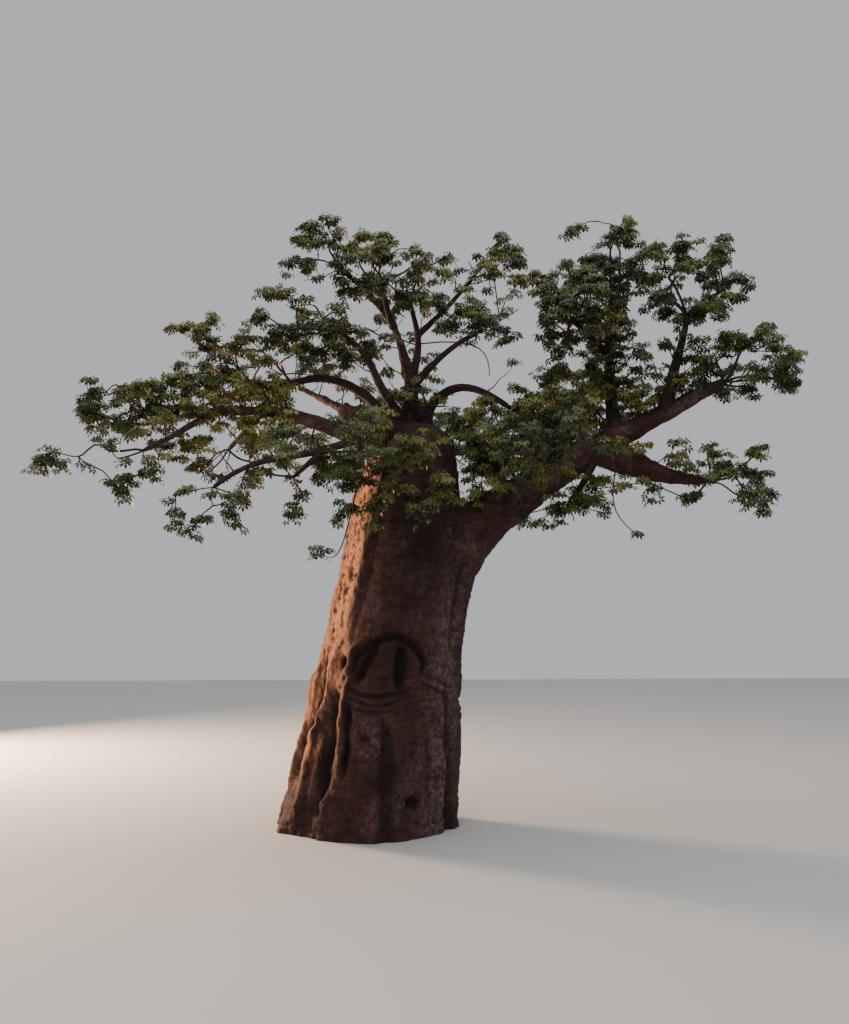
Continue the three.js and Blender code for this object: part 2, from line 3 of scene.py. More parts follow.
import bmesh
import bpy
import numpy as np
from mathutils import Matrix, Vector

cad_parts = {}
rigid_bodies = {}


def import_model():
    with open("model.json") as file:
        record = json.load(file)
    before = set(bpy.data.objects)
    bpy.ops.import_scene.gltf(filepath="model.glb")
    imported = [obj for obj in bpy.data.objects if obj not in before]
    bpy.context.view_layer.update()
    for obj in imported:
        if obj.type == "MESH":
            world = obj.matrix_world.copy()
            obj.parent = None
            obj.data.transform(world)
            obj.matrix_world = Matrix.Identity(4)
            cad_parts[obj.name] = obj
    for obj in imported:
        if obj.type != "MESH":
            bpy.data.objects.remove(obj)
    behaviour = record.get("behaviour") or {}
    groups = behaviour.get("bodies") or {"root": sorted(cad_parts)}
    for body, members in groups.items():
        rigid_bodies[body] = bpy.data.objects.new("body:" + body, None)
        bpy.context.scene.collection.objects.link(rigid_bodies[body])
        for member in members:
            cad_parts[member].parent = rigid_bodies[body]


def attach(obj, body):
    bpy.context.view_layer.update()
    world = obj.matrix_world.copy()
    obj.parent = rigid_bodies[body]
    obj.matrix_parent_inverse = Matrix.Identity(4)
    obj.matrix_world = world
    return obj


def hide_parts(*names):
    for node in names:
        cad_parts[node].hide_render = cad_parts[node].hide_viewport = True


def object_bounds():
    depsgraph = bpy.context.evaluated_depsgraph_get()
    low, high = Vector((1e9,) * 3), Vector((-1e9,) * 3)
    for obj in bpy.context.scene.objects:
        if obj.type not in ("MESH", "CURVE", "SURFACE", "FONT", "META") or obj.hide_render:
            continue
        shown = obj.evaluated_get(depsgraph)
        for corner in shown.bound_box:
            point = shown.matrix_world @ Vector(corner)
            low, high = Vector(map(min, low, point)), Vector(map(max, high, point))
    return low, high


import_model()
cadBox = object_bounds()

# Everything is in metres, +Z up and +Y away from the viewer, with the origin at the middle of the
# flat cut under the trunk.

cameraSetup = {
    "place": (0.0, -20.0, 3.7),  # where the photograph's eye stands
    "aim": (0.88, 0.0, 4.80),
    "lens": 45.5,
}


def addCamera():
    camera = bpy.data.objects.new("treeCamera", bpy.data.cameras.new("treeCamera"))
    camera.data.lens = cameraSetup["lens"]
    camera.data.clip_end = 200
    camera.location = cameraSetup["place"]
    way = Vector(cameraSetup["aim"]) - camera.location
    camera.rotation_euler = way.to_track_quat("-Z", "Y").to_euler()
    bpy.context.scene.collection.objects.link(camera)
    bpy.context.scene.camera = camera


addCamera()
print("camera placed")

studio = {
    "floorSize": 60.0,
    "floorColour": (0.62, 0.61, 0.59, 1),
    "air": (0.85, 0.87, 0.90, 1),
    "airStrength": 0.62,
    # name: place, aim, size of the soft box, watts, colour
    "lights": {
        "lowSun": ((-12.0, 9.5, 3.9), (0, 0, 3.2), 3.2, 6900, (1.0, 0.63, 0.39)),
        "frontFill": ((-4.0, -17.0, 12.0), (0.5, 0, 4.5), 9.0, 830, (1.0, 0.95, 0.90)),
        "skyTop": ((3.0, 1.0, 19.0), (0.5, 0, 4.0), 12.0, 1000, (0.86, 0.92, 1.0)),
    },
}


def addFloor():
    half = studio["floorSize"] / 2
    mesh = bpy.data.meshes.new("studioFloor")
    corners = [(-half, -half, -0.002), (half, -half, -0.002), (half, half, -0.002), (-half, half, -0.002)]
    mesh.from_pydata(corners, [], [(0, 1, 2, 3)])
    floor = bpy.data.objects.new("studioFloor", mesh)
    paint = bpy.data.materials.new("floorPaint")
    paint.use_nodes = True
    shader = paint.node_tree.nodes["Principled BSDF"]
    shader.inputs["Base Color"].default_value = studio["floorColour"]
    shader.inputs["Roughness"].default_value = 0.9
    mesh.materials.append(paint)
    bpy.context.scene.collection.objects.link(floor)


def addLights():
    for name, (place, aim, size, watts, colour) in studio["lights"].items():
        lamp = bpy.data.lights.new(name, "AREA")
        lamp.size = size
        lamp.energy = watts
        lamp.color = colour
        light = bpy.data.objects.new(name, lamp)
        light.location = place
        light.rotation_euler = (Vector(aim) - light.location).to_track_quat("-Z", "Y").to_euler()
        bpy.context.scene.collection.objects.link(light)
    world = bpy.data.worlds.new("studioAir")
    world.use_nodes = True
    air = world.node_tree.nodes["Background"]
    air.inputs["Color"].default_value = studio["air"]
    air.inputs["Strength"].default_value = studio["airStrength"]
    bpy.context.scene.world = world


addFloor()
addLights()
print("floor and soft lights placed")

# The trunk's own measures, as in the solid.
trunkShape = {
    "height": 6.15,
    "footGirth": 1.24,
    "flareReach": 0.15,
    "flareHeight": 0.52,
    "taper": 0.042,  # for each metre of height
    "extraTaper": 0.0092,
    "lean": 0.165,
    "leanFade": 0.0086,
    "depthLean": -0.010,
    "headRounding": 0.42,
    "headClosing": 0.5,  # share of the radius squared that the head closes in by
    "swellingHeight": 3.95,  # under the great bough
    "swellingSpread": 0.62,
    "swellingReach": 0.15,
}

# Folds run up the trunk: narrow columns that twist slowly as they rise, and a few broad swells.
# The root flare stands out in toes, made of two waves round the trunk: how many, and their turn.
trunkFolds = {
    "fade": 2.6,  # height over which the folds grow fainter
    "columns": 9,
    "columnTwist": 1.9,  # height for each radian
    "columnDepth": 0.014,
    "depthOnTheLeft": 0.034,
    "swells": 4,
    "swellTurn": 0.9,
    "swellDepth": 0.026,
    "swellHighUp": 0.4,  # share of the depth that is left high up
    "toeMean": 0.62,
    "toeHeight": 0.3,
    "toeWaves": [(5, 0.5), (3, -2.2)],
}

# Each limb starts on the middle line of what it grows from, at a height on the trunk or a share of
# its parent's length. Headings are degrees round from +X and degrees of rise.
limbs = {
    "right_great_bough": dict(
        on="trunk", at=3.69, length=5.65, girth=0.52, tip=0.095, taper=1.25,
        headings=[(0, 36), (-9, 38), (-9, 31), (-7, 27), (-5, 27)],
    ),
    "right_low_bough": dict(
        on="right_great_bough", at=0.665, length=1.65, girth=0.235, tip=0.062,
        headings=[(-30, -36), (-34, -22), (-28, -5)],
    ),
    "right_upper_bough": dict(
        on="right_great_bough", at=0.715, length=2.6, girth=0.105, tip=0.042,
        headings=[(100, 60), (80, 70), (60, 78)],
    ),
    "right_upper_fork": dict(
        on="right_upper_bough", at=0.56, length=1.15, girth=0.062, tip=0.036,
        headings=[(-128, 25), (-128, 12)],
    ),
    "far_upper_bough": dict(
        on="right_great_bough", at=0.855, length=1.4, girth=0.095, tip=0.042,
        headings=[(-40, 72), (-35, 76)],
    ),
    "under_bough": dict(
        on="right_great_bough", at=0.655, length=0.95, girth=0.066, tip=0.036,
        headings=[(-136, -68), (-155, -45)],
    ),
    "right_front_bough": dict(
        on="right_great_bough", at=0.36, length=2.7, girth=0.11, tip=0.042,
        headings=[(-84, 5), (-84, 14), (-83, 20)],
    ),
    "right_back_bough": dict(
        on="right_great_bough", at=0.555, length=2.62, girth=0.12, tip=0.046,
        headings=[(81, 23), (76, 22)],
    ),
    "right_inner_bough": dict(
        on="right_great_bough", at=0.375, length=0.75, girth=0.06, tip=0.038,
        headings=[(-123, 58), (-137, 52)],
    ),
    "arch_bough": dict(
        on="trunk", at=5.35, length=2.6, girth=0.092, tip=0.046,
        headings=[(0, 30), (90, 80), (60, 70), (0, 32), (-20, -22), (-20, -35)],
    ),
    "crown_bough": dict(
        on="trunk", at=5.85, length=3.0, girth=0.15, tip=0.038, taper=1.6,
        headings=[(180, 90), (180, 89), (180, 78), (178, 66), (172, 47), (171, 42)],
    ),
    "crown_mid_bough": dict(
        on="crown_bough", at=0.32, length=1.55, girth=0.064, tip=0.034,
        headings=[(44, 60), (66, 70), (106, 56), (115, 68)],
    ),
    "crown_right_bough": dict(
        on="crown_bough", at=0.28, length=1.35, girth=0.054, tip=0.034,
        headings=[(-27, 45), (-38, 36), (-20, 22)],
    ),
    "crown_far_bough": dict(
        on="crown_mid_bough", at=0.57, length=1.33, girth=0.044, tip=0.03,
        headings=[(21, 42), (15, 50)],
    ),
    "crown_fork_bough": dict(
        on="crown_bough", at=0.62, length=0.72, girth=0.05, tip=0.032,
        headings=[(-113, 40), (-104, 44)],
    ),
    "crown_back_bough": dict(
        on="crown_bough", at=0.36, length=2.1, girth=0.078, tip=0.04,
        headings=[(94, 25), (92, 26)],
    ),
    "head_bough": dict(
        on="crown_bough", at=0.1, length=0.44, girth=0.06, tip=0.04,
        headings=[(-62, 12), (-62, 35)],
    ),
    "left_shoulder_bough": dict(
        on="trunk", at=5.9, length=2.05, girth=0.085, tip=0.038,
        headings=[(-146, 62), (-149, 50), (-120, 45), (-157, 26)],
    ),
    "left_upper_bough": dict(
        on="trunk", at=5.9, length=2.8, girth=0.095, tip=0.038,
        headings=[(155, 35), (165, 52), (-175, 22), (-175, -14), (180, 8)],
    ),
    "left_great_bough": dict(
        on="trunk", at=5.78, length=3.86, girth=0.17, tip=0.044, taper=1.1,
        headings=[(-175, 8), (-173, 16), (-172, 18), (180, 4), (-170, -8), (180, -14)],
    ),
    "left_hanging_bough": dict(
        on="left_great_bough", at=0.8, length=1.45, girth=0.05, tip=0.034,
        headings=[(-127, -28), (-132, -26)],
    ),
    "left_under_bough": dict(
        on="left_great_bough", at=0.61, length=1.15, girth=0.052, tip=0.034,
        headings=[(119, -20), (128, -28)],
    ),
    "left_low_bough": dict(
        on="trunk", at=5.95, length=3.74, girth=0.084, tip=0.032, taper=1.3,
        headings=[(-122, 8), (-132, -14), (-146, -17), (-152, -11), (-145, -38)],
    ),
    "left_low_fork": dict(
        on="left_low_bough", at=0.52, length=0.67, girth=0.042, tip=0.03,
        headings=[(-135, -38), (-136, -36)],
    ),
    "front_bough": dict(
        on="trunk", at=5.8, length=3.05, girth=0.135, tip=0.042,
        headings=[(-99, 4), (-103, -16), (-111, -2)],
    ),
    "front_droop_bough": dict(
        on="front_bough", at=0.53, length=0.43, girth=0.058, tip=0.042,
        headings=[(-110, -38), (-110, -42)],
    ),
    "back_bough": dict(
        on="trunk", at=5.85, length=2.88, girth=0.15, tip=0.046,
        headings=[(83, 16), (91, 7)],
    ),
    "back_left_bough": dict(
        on="trunk", at=5.9, length=3.17, girth=0.13, tip=0.046,
        headings=[(126, 20), (132, 23)],
    ),
    "back_right_bough": dict(
        on="trunk", at=5.7, length=2.43, girth=0.12, tip=0.044,
        headings=[(59, 5), (53, 11)],
    ),
    "stump": dict(
        on="trunk", at=5.65, length=1.33, girth=0.33, tip=0.225, blunt=True,
        headings=[(-172, 26), (-172, 44)],
    ),
}

# Each mass of foliage keeps to an ellipsoid: the bough it grows from, its middle and half sizes,
# and how full of leaves it is.
masses = {
    "left_tip_foliage": ("left_great_bough", (-3.75, -0.5, 6.28), (0.85, 0.85, 0.52), 2.34),
    "left_hanging_foliage": ("left_hanging_bough", (-3.85, -1.6, 5.42), (0.96, 0.8, 0.42), 0.45),
    "left_crest_foliage": ("left_upper_bough", (-2.3, 0.2, 7.11), (0.95, 0.95, 0.62), 0.75),
    "left_shoulder_foliage": ("left_shoulder_bough", (-0.84, -0.8, 7.56), (0.85, 0.95, 0.54), 1.23),
    "left_under_foliage": ("left_under_bough", (-2.48, 0.9, 5.61), (0.9, 0.9, 0.54), 0.5),
    "left_low_foliage": ("left_low_bough", (-2.31, -2.45, 4.86), (0.62, 0.85, 0.44), 0.35),
    "left_low_inner_foliage": ("left_low_fork", (-1.2, -1.95, 5.05), (0.63, 0.8, 0.41), 0.5),
    "front_centre_foliage": ("front_droop_bough", (0.25, -2.05, 5.12), (0.98, 0.8, 0.62), 0.95),
    "front_far_foliage": ("front_bough", (-0.48, -3.6, 5.58), (0.85, 1.05, 0.44), 0.5),
    "crown_left_foliage": ("crown_bough", (-0.73, 0.1, 8.85), (0.5, 0.7, 0.68), 1.0),
    "crown_top_foliage": ("crown_fork_bough", (0.17, -0.6, 8.5), (0.74, 0.85, 0.61), 1.0),
    "crown_mid_foliage": ("crown_mid_bough", (0.78, 0.8, 8.72), (0.69, 0.85, 0.58), 0.6),
    "crown_far_foliage": ("crown_far_bough", (2.12, 0.7, 8.88), (0.64, 0.8, 0.45), 0.7),
    "crown_right_foliage": ("crown_right_bough", (1.96, -0.6, 7.7), (0.74, 0.8, 0.38), 0.6),
    "crown_back_foliage": ("crown_back_bough", (0.54, 2.7, 8.25), (0.96, 1.0, 0.68), 0.5),
    "head_foliage": ("head_bough", (0.94, -0.6, 6.56), (0.64, 0.65, 0.35), 0.7),
    "right_inner_foliage": ("right_inner_bough", (1.84, -0.42, 5.9), (0.62, 0.8, 0.5), 1.4),
    "right_mid_foliage": ("arch_bough", (2.88, 0.0, 6.5), (0.78, 0.9, 0.56), 1.6),
    "right_under_foliage": ("under_bough", (2.98, -0.6, 4.82), (0.83, 0.65, 0.33), 0.5),
    "right_upper_foliage": ("right_upper_fork", (2.95, -0.8, 7.8), (0.68, 0.9, 0.74), 1.8),
    "right_crest_foliage": ("right_upper_bough", (4.02, 0.5, 8.9), (0.76, 0.9, 0.68), 1.5),
    "far_upper_foliage": ("far_upper_bough", (4.95, -0.7, 8.23), (0.83, 1.0, 0.73), 1.4),
    "far_end_foliage": ("right_great_bough", (5.87, -0.6, 6.97), (0.82, 1.1, 0.64), 1.2),
    "far_low_foliage": ("right_low_bough", (5.31, -1.3, 5.17), (0.8, 0.95, 0.5), 0.8),
    "right_front_foliage": ("right_front_bough", (2.45, -3.2, 5.68), (0.9, 1.2, 0.49), 0.6),
    "right_back_foliage": ("right_back_bough", (3.82, 2.9, 6.95), (1.02, 1.25, 0.68), 0.9),
    "back_far_foliage": ("back_bough", (0.74, 3.65, 6.6), (1.2, 1.2, 0.56), 0.95),
    "back_left_foliage": ("back_left_bough", (-1.85, 2.95, 7.45), (1.15, 1.25, 0.68), 0.8),
    "back_right_foliage": ("back_right_bough", (2.42, 2.6, 6.3), (0.9, 1.1, 0.52), 0.95),
}


def unit(vectors):
    return vectors / np.linalg.norm(vectors, axis=-1, keepdims=True)


def trunkMiddle(height):
    height = np.asarray(height, float)
    sideways = trunkShape["lean"] * height - trunkShape["leanFade"] * height**2
    return np.stack([sideways, trunkShape["depthLean"] * height, height], axis=-1)


def trunkRadius(turn, height):
    shape, folding = trunkShape, trunkFolds
    girth = shape["footGirth"] - shape["taper"] * height - shape["extraTaper"] * height**2
    fade = np.exp(-height / folding["fade"])
    left = 0.5 - 0.5 * np.cos(turn)
    depth = folding["columnDepth"] + folding["depthOnTheLeft"] * left * fade
    folds = 1 + np.cos(folding["columns"] * turn + height / folding["columnTwist"]) * depth
    share = folding["swellHighUp"] + (1 - folding["swellHighUp"]) * fade
    folds += np.cos(folding["swells"] * turn + folding["swellTurn"]) * folding["swellDepth"] * share
    toes = folding["toeMean"]
    for count, shift in folding["toeWaves"]:
        toes = toes + folding["toeHeight"] * np.cos(count * turn + shift)
    flare = shape["flareReach"] * toes * np.exp(-height / shape["flareHeight"])
    away = (height - shape["swellingHeight"]) / shape["swellingSpread"]
    swelling = shape["swellingReach"] * np.exp(-(away**2)) * np.maximum(0, np.cos(turn)) ** 2
    closing = np.clip((height - shape["height"]) / shape["headRounding"] + 1, 0, 1)
    return (girth * folds + flare + swelling) * np.sqrt(1 - shape["headClosing"] * closing**2)


# How points lie to the trunk: their turn round it, their distance from its middle line, and its
# radius there.
def trunkPlace(points, height):
    offset = points - trunkMiddle(height)
    turn = np.arctan2(offset[:, 1], offset[:, 0])
    return turn, np.hypot(offset[:, 0], offset[:, 1]), trunkRadius(turn, height)


def headingAt(limb, share):
    turn, rise = np.radians(np.array(limb["headings"], float)).T
    ways = np.stack([np.cos(rise) * np.cos(turn), np.cos(rise) * np.sin(turn), np.sin(rise)], axis=1)
    place = np.clip(np.atleast_1d(share), 0, 1) * (len(ways) - 1)
    before = np.minimum(place.astype(int), len(ways) - 2)
    part = (place - before)[:, None]
    return unit(ways[before] * (1 - part) + ways[before + 1] * part)


def pointAlong(line, share):
    steps = np.linspace(0, 1, len(line))
    return np.stack([np.interp(share, steps, line[:, axis]) for axis in range(3)], axis=-1)


limbShape = {
    "steps": 24,  # straight steps in each limb's middle line
    "taper": 0.9,  # where a limb names none of its own
    "bluntFrom": 0.72,  # share of a broken limb's length where its end starts to round off
    "bluntClosing": 0.75,  # share of the radius squared that the end closes in by
}
limbSteps = limbShape["steps"]


def limbRadius(limb, share):
    taper = limb.get("taper", limbShape["taper"])
    body = limb["tip"] + (limb["girth"] - limb["tip"]) * (1 - share) ** taper
    if not limb.get("blunt"):
        return body
    closing = np.clip((share - limbShape["bluntFrom"]) / (1 - limbShape["bluntFrom"]), 0, 1)
    return body * np.sqrt(1 - limbShape["bluntClosing"] * closing * closing * (3 - 2 * closing))


def limbLines():
    lines = {}
    for name, limb in limbs.items():
        onTrunk = limb["on"] == "trunk"
        start = trunkMiddle(limb["at"]) if onTrunk else pointAlong(lines[limb["on"]], limb["at"])
        steps = headingAt(limb, (np.arange(limbSteps) + 0.5) / limbSteps) * limb["length"] / limbSteps
        lines[name] = np.vstack([start, start + np.cumsum(steps, axis=0)])
    return lines


lines = limbLines()

cellPrimes = (73856093, 19349663, 83492791)  # large primes that mix a cell's place into a number


# Even noise between -1 and 1 on a lattice of unit cells.
def softNoise(points, seed):
    cell = np.floor(points).astype(np.int64)
    part = points - cell
    ease = part * part * (3 - 2 * part)
    total = np.zeros(len(points))
    for corner in np.ndindex(2, 2, 2):
        at = cell + np.array(corner)
        one, two, three = (at * cellPrimes).T
        mixed = one ^ two ^ three ^ (seed * 2654435)
        mixed = (mixed ^ (mixed >> 13)) * 1274126177
        value = ((mixed ^ (mixed >> 16)) & 65535) / 32767.5 - 1
        weight = np.where(corner, ease, 1 - ease).prod(axis=1)
        total += value * weight
    return total


def roughNoise(points, seed, octaves=3):
    total = np.zeros(len(points))
    for octave in range(octaves):
        total += softNoise(points * 2.03**octave, seed + octave) * 0.55**octave
    return total


def meshFrom(name, points, faceGroups, materials, materialOf=None):
    mesh = bpy.data.meshes.new(name)
    corners = np.concatenate([group.ravel() for group in faceGroups]).astype(np.int32)
    sizes = np.concatenate([np.full(len(group), group.shape[1]) for group in faceGroups])
    mesh.vertices.add(len(points))
    mesh.vertices.foreach_set("co", points.astype(np.float32).ravel())
    mesh.loops.add(len(corners))
    mesh.loops.foreach_set("vertex_index", corners)
    mesh.polygons.add(len(sizes))
    mesh.polygons.foreach_set("loop_start", np.concatenate([[0], np.cumsum(sizes)[:-1]]).astype(np.int32))
    mesh.update(calc_edges=True)
    for material in materials:
        mesh.materials.append(material)
    if materialOf is not None:
        mesh.polygons.foreach_set("material_index", materialOf.astype(np.int32))
    mesh.polygons.foreach_set("use_smooth", np.ones(len(sizes), dtype=bool))
    piece = bpy.data.objects.new(name, mesh)
    bpy.context.scene.collection.objects.link(piece)
    return piece


def standIn(piece, nodes):
    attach(piece, "root")
    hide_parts(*nodes)


# Many round rods at once: points is rods x rings x 3 and radii is rods x rings. Both ends are closed.
def rods(points, radii, sides):
    count, rings = radii.shape
    along = unit(np.gradient(points, axis=1))
    overall = unit(points[:, -1] - points[:, 0])
    helper = np.where(np.abs(overall[:, 2:3]) < 0.8, (0.0, 0.0, 1.0), (1.0, 0.0, 0.0))
    across = unit(np.cross(along, helper[:, None, :]))
    over = np.cross(along, across)
    turn = 2 * np.pi * np.arange(sides) / sides
    ring = across[:, :, None] * np.cos(turn)[:, None] + over[:, :, None] * np.sin(turn)[:, None]
    spots = points[:, :, None] + ring * radii[:, :, None, None]
    index = np.arange(count * rings * sides).reshape(count, rings, sides)
    after = np.roll(index, -1, axis=2)
    quads = np.stack([index[:, :-1], index[:, 1:], after[:, 1:], after[:, :-1]], axis=-1).reshape(-1, 4)
    caps = np.concatenate([index[:, 0], index[:, -1, ::-1]])
    return spots.reshape(-1, 3), quads, caps


barkLook = {
    "voxel": 0.025,
    "trunkSides": 150,
    "trunkRings": 110,
    "boughSides": 24,
    "boughRings": 0.08,  # metres between them
    "slenderSides": 16,
    "slenderRings": 0.045,
    "footRoom": 0.12,  # how far the trunk's skin goes on under the ground
    "headRoom": 0.05,  # and over the solid's head
    "headStart": 0.30,  # how far under the head's top it starts to close in
    "headDepth": 0.36,
    "headClosing": 0.86,
    "collar": 0.34,  # how much a limb widens where it leaves, as a share of its radius
    "collarReach": 0.26,
    "thinnest": 0.13,  # radius at its foot of the thinnest limb that the trunk's skin runs on over
    "limbWave": 0.22,  # how far a limb strays from its line, as a share of its radius
    "waveFrom": 0.5,  # distance from where it leaves to where it strays in full
    "waveFineness": 1.7,
    "girthWave": 0.05,
    "girthFineness": 3.1,
    "collarSmoothing": 14,
    "collarWidth": 0.22,
    "skinSmoothing": 0.8,
    "smoothingStep": 0.6,
    "slenderRoughness": 0.08,
}

heavyLimbs = [name for name, limb in limbs.items() if limb["girth"] >= barkLook["thinnest"]]


def limbRings(name, spacing):
    limb = limbs[name]
    share = np.linspace(0, 1, max(6, int(limb["length"] / spacing)))
    points = pointAlong(lines[name], share)
    radii = limbRadius(limb, share)
    if limb["on"] == "trunk":
        _, reach, radius = trunkPlace(points, points[:, 2])
        inside = (reach < radius) & (points[:, 2] < trunkShape["height"])
        leaves = share[inside].max() * limb["length"] if inside.any() else 0
    else:
        leaves = limbRadius(limbs[limb["on"]], limb["at"])
    past = np.maximum(share * limb["length"] - leaves, 0)
    radii = radii * (1 + barkLook["collar"] * np.exp(-past / barkLook["collarReach"]))
    seed = list(limbs).index(name)
    finer = points * barkLook["waveFineness"]
    stray = np.stack([softNoise(finer + 9.1 * axis, seed) for axis in range(3)], axis=1)
    ease = np.clip(past / barkLook["waveFrom"], 0, 1) * np.clip((1 - share) * 4, 0, 1)
    points = points + stray * (barkLook["limbWave"] * radii * ease)[:, None]
    swell = softNoise(points * barkLook["girthFineness"], seed + 40)
    radii = radii * (1 + barkLook["girthWave"] * swell * ease)
    return points, radii


# The trunk's skin starts below the ground, where it is cut off later, and closes over the head.
def trunkSkin():
    sides, rings = barkLook["trunkSides"], barkLook["trunkRings"]
    height = np.linspace(-barkLook["footRoom"], trunkShape["height"] + barkLook["headRoom"], rings)
    turn = 2 * np.pi * np.arange(sides) / sides
    heightGrid, turnGrid = np.meshgrid(height, turn, indexing="ij")
    radius = trunkRadius(turnGrid, np.clip(heightGrid, 0, trunkShape["height"]))
    past = heightGrid - trunkShape["height"] + barkLook["headStart"]
    closing = np.clip(past / barkLook["headDepth"], 0, 1)
    radius = radius * np.sqrt(1 - barkLook["headClosing"] * closing**2)
    points = trunkMiddle(heightGrid)
    points[..., 0] += radius * np.cos(turnGrid)
    points[..., 1] += radius * np.sin(turnGrid)
    index = np.arange(sides * rings).reshape(rings, sides)
    after = np.roll(index, -1, axis=1)
    quads = np.stack([index[:-1], after[:-1], after[1:], index[1:]], axis=-1).reshape(-1, 4)
    return points.reshape(-1, 3), quads, [index[0, ::-1][None], index[-1][None]]


def joinParts(parts):
    points, groups, offset = [], {}, 0
    for spots, faceGroups in parts:
        points.append(spots)
        for group in faceGroups:
            groups.setdefault(group.shape[1], []).append(group + offset)
        offset += len(spots)
    return np.concatenate(points), [np.concatenate(group) for group in groups.values()]


def remeshed(piece, voxel):
    modifier = piece.modifiers.new("skin", "REMESH")
    modifier.mode = "VOXEL"
    modifier.voxel_size = voxel
    modifier.adaptivity = 0
    graph = bpy.context.evaluated_depsgraph_get()
    mesh = bpy.data.meshes.new_from_object(piece.evaluated_get(graph))
    bpy.data.objects.remove(piece)
    return mesh


def edgeArrays(mesh):
    ends = np.empty(len(mesh.edges) * 2, dtype=np.int32)
    mesh.edges.foreach_get("vertices", ends)
    return ends.reshape(-1, 2).T


# Draws each point towards the mean of its neighbours, by its weight.
def smoothed(points, ends, weight, rounds):
    one, other = ends
    count = np.bincount(one, minlength=len(points)) + np.bincount(other, minlength=len(points))
    for _ in range(rounds):
        sums = [
            np.bincount(one, around[other], len(points)) + np.bincount(other, around[one], len(points))
            for around in points.T
        ]
        mean = np.stack(sums, axis=1) / count[:, None]
        points = points + (mean - points) * (barkLook["smoothingStep"] * weight)[:, None]
    return points


# Distance from each point to a limb's surface, below zero inside.
def limbDistance(points, name):
    line = lines[name]
    best = np.full(len(points), np.inf)
    for step in range(limbSteps):
        way = line[step + 1] - line[step]
        part = np.clip((points - line[step]) @ way / (way @ way), 0, 1)
        share = (step + part) / limbSteps
        distance = np.linalg.norm(points - line[step] - part[:, None] * way, axis=1)
        best = np.minimum(best, distance - limbRadius(limbs[name], share))
    return best


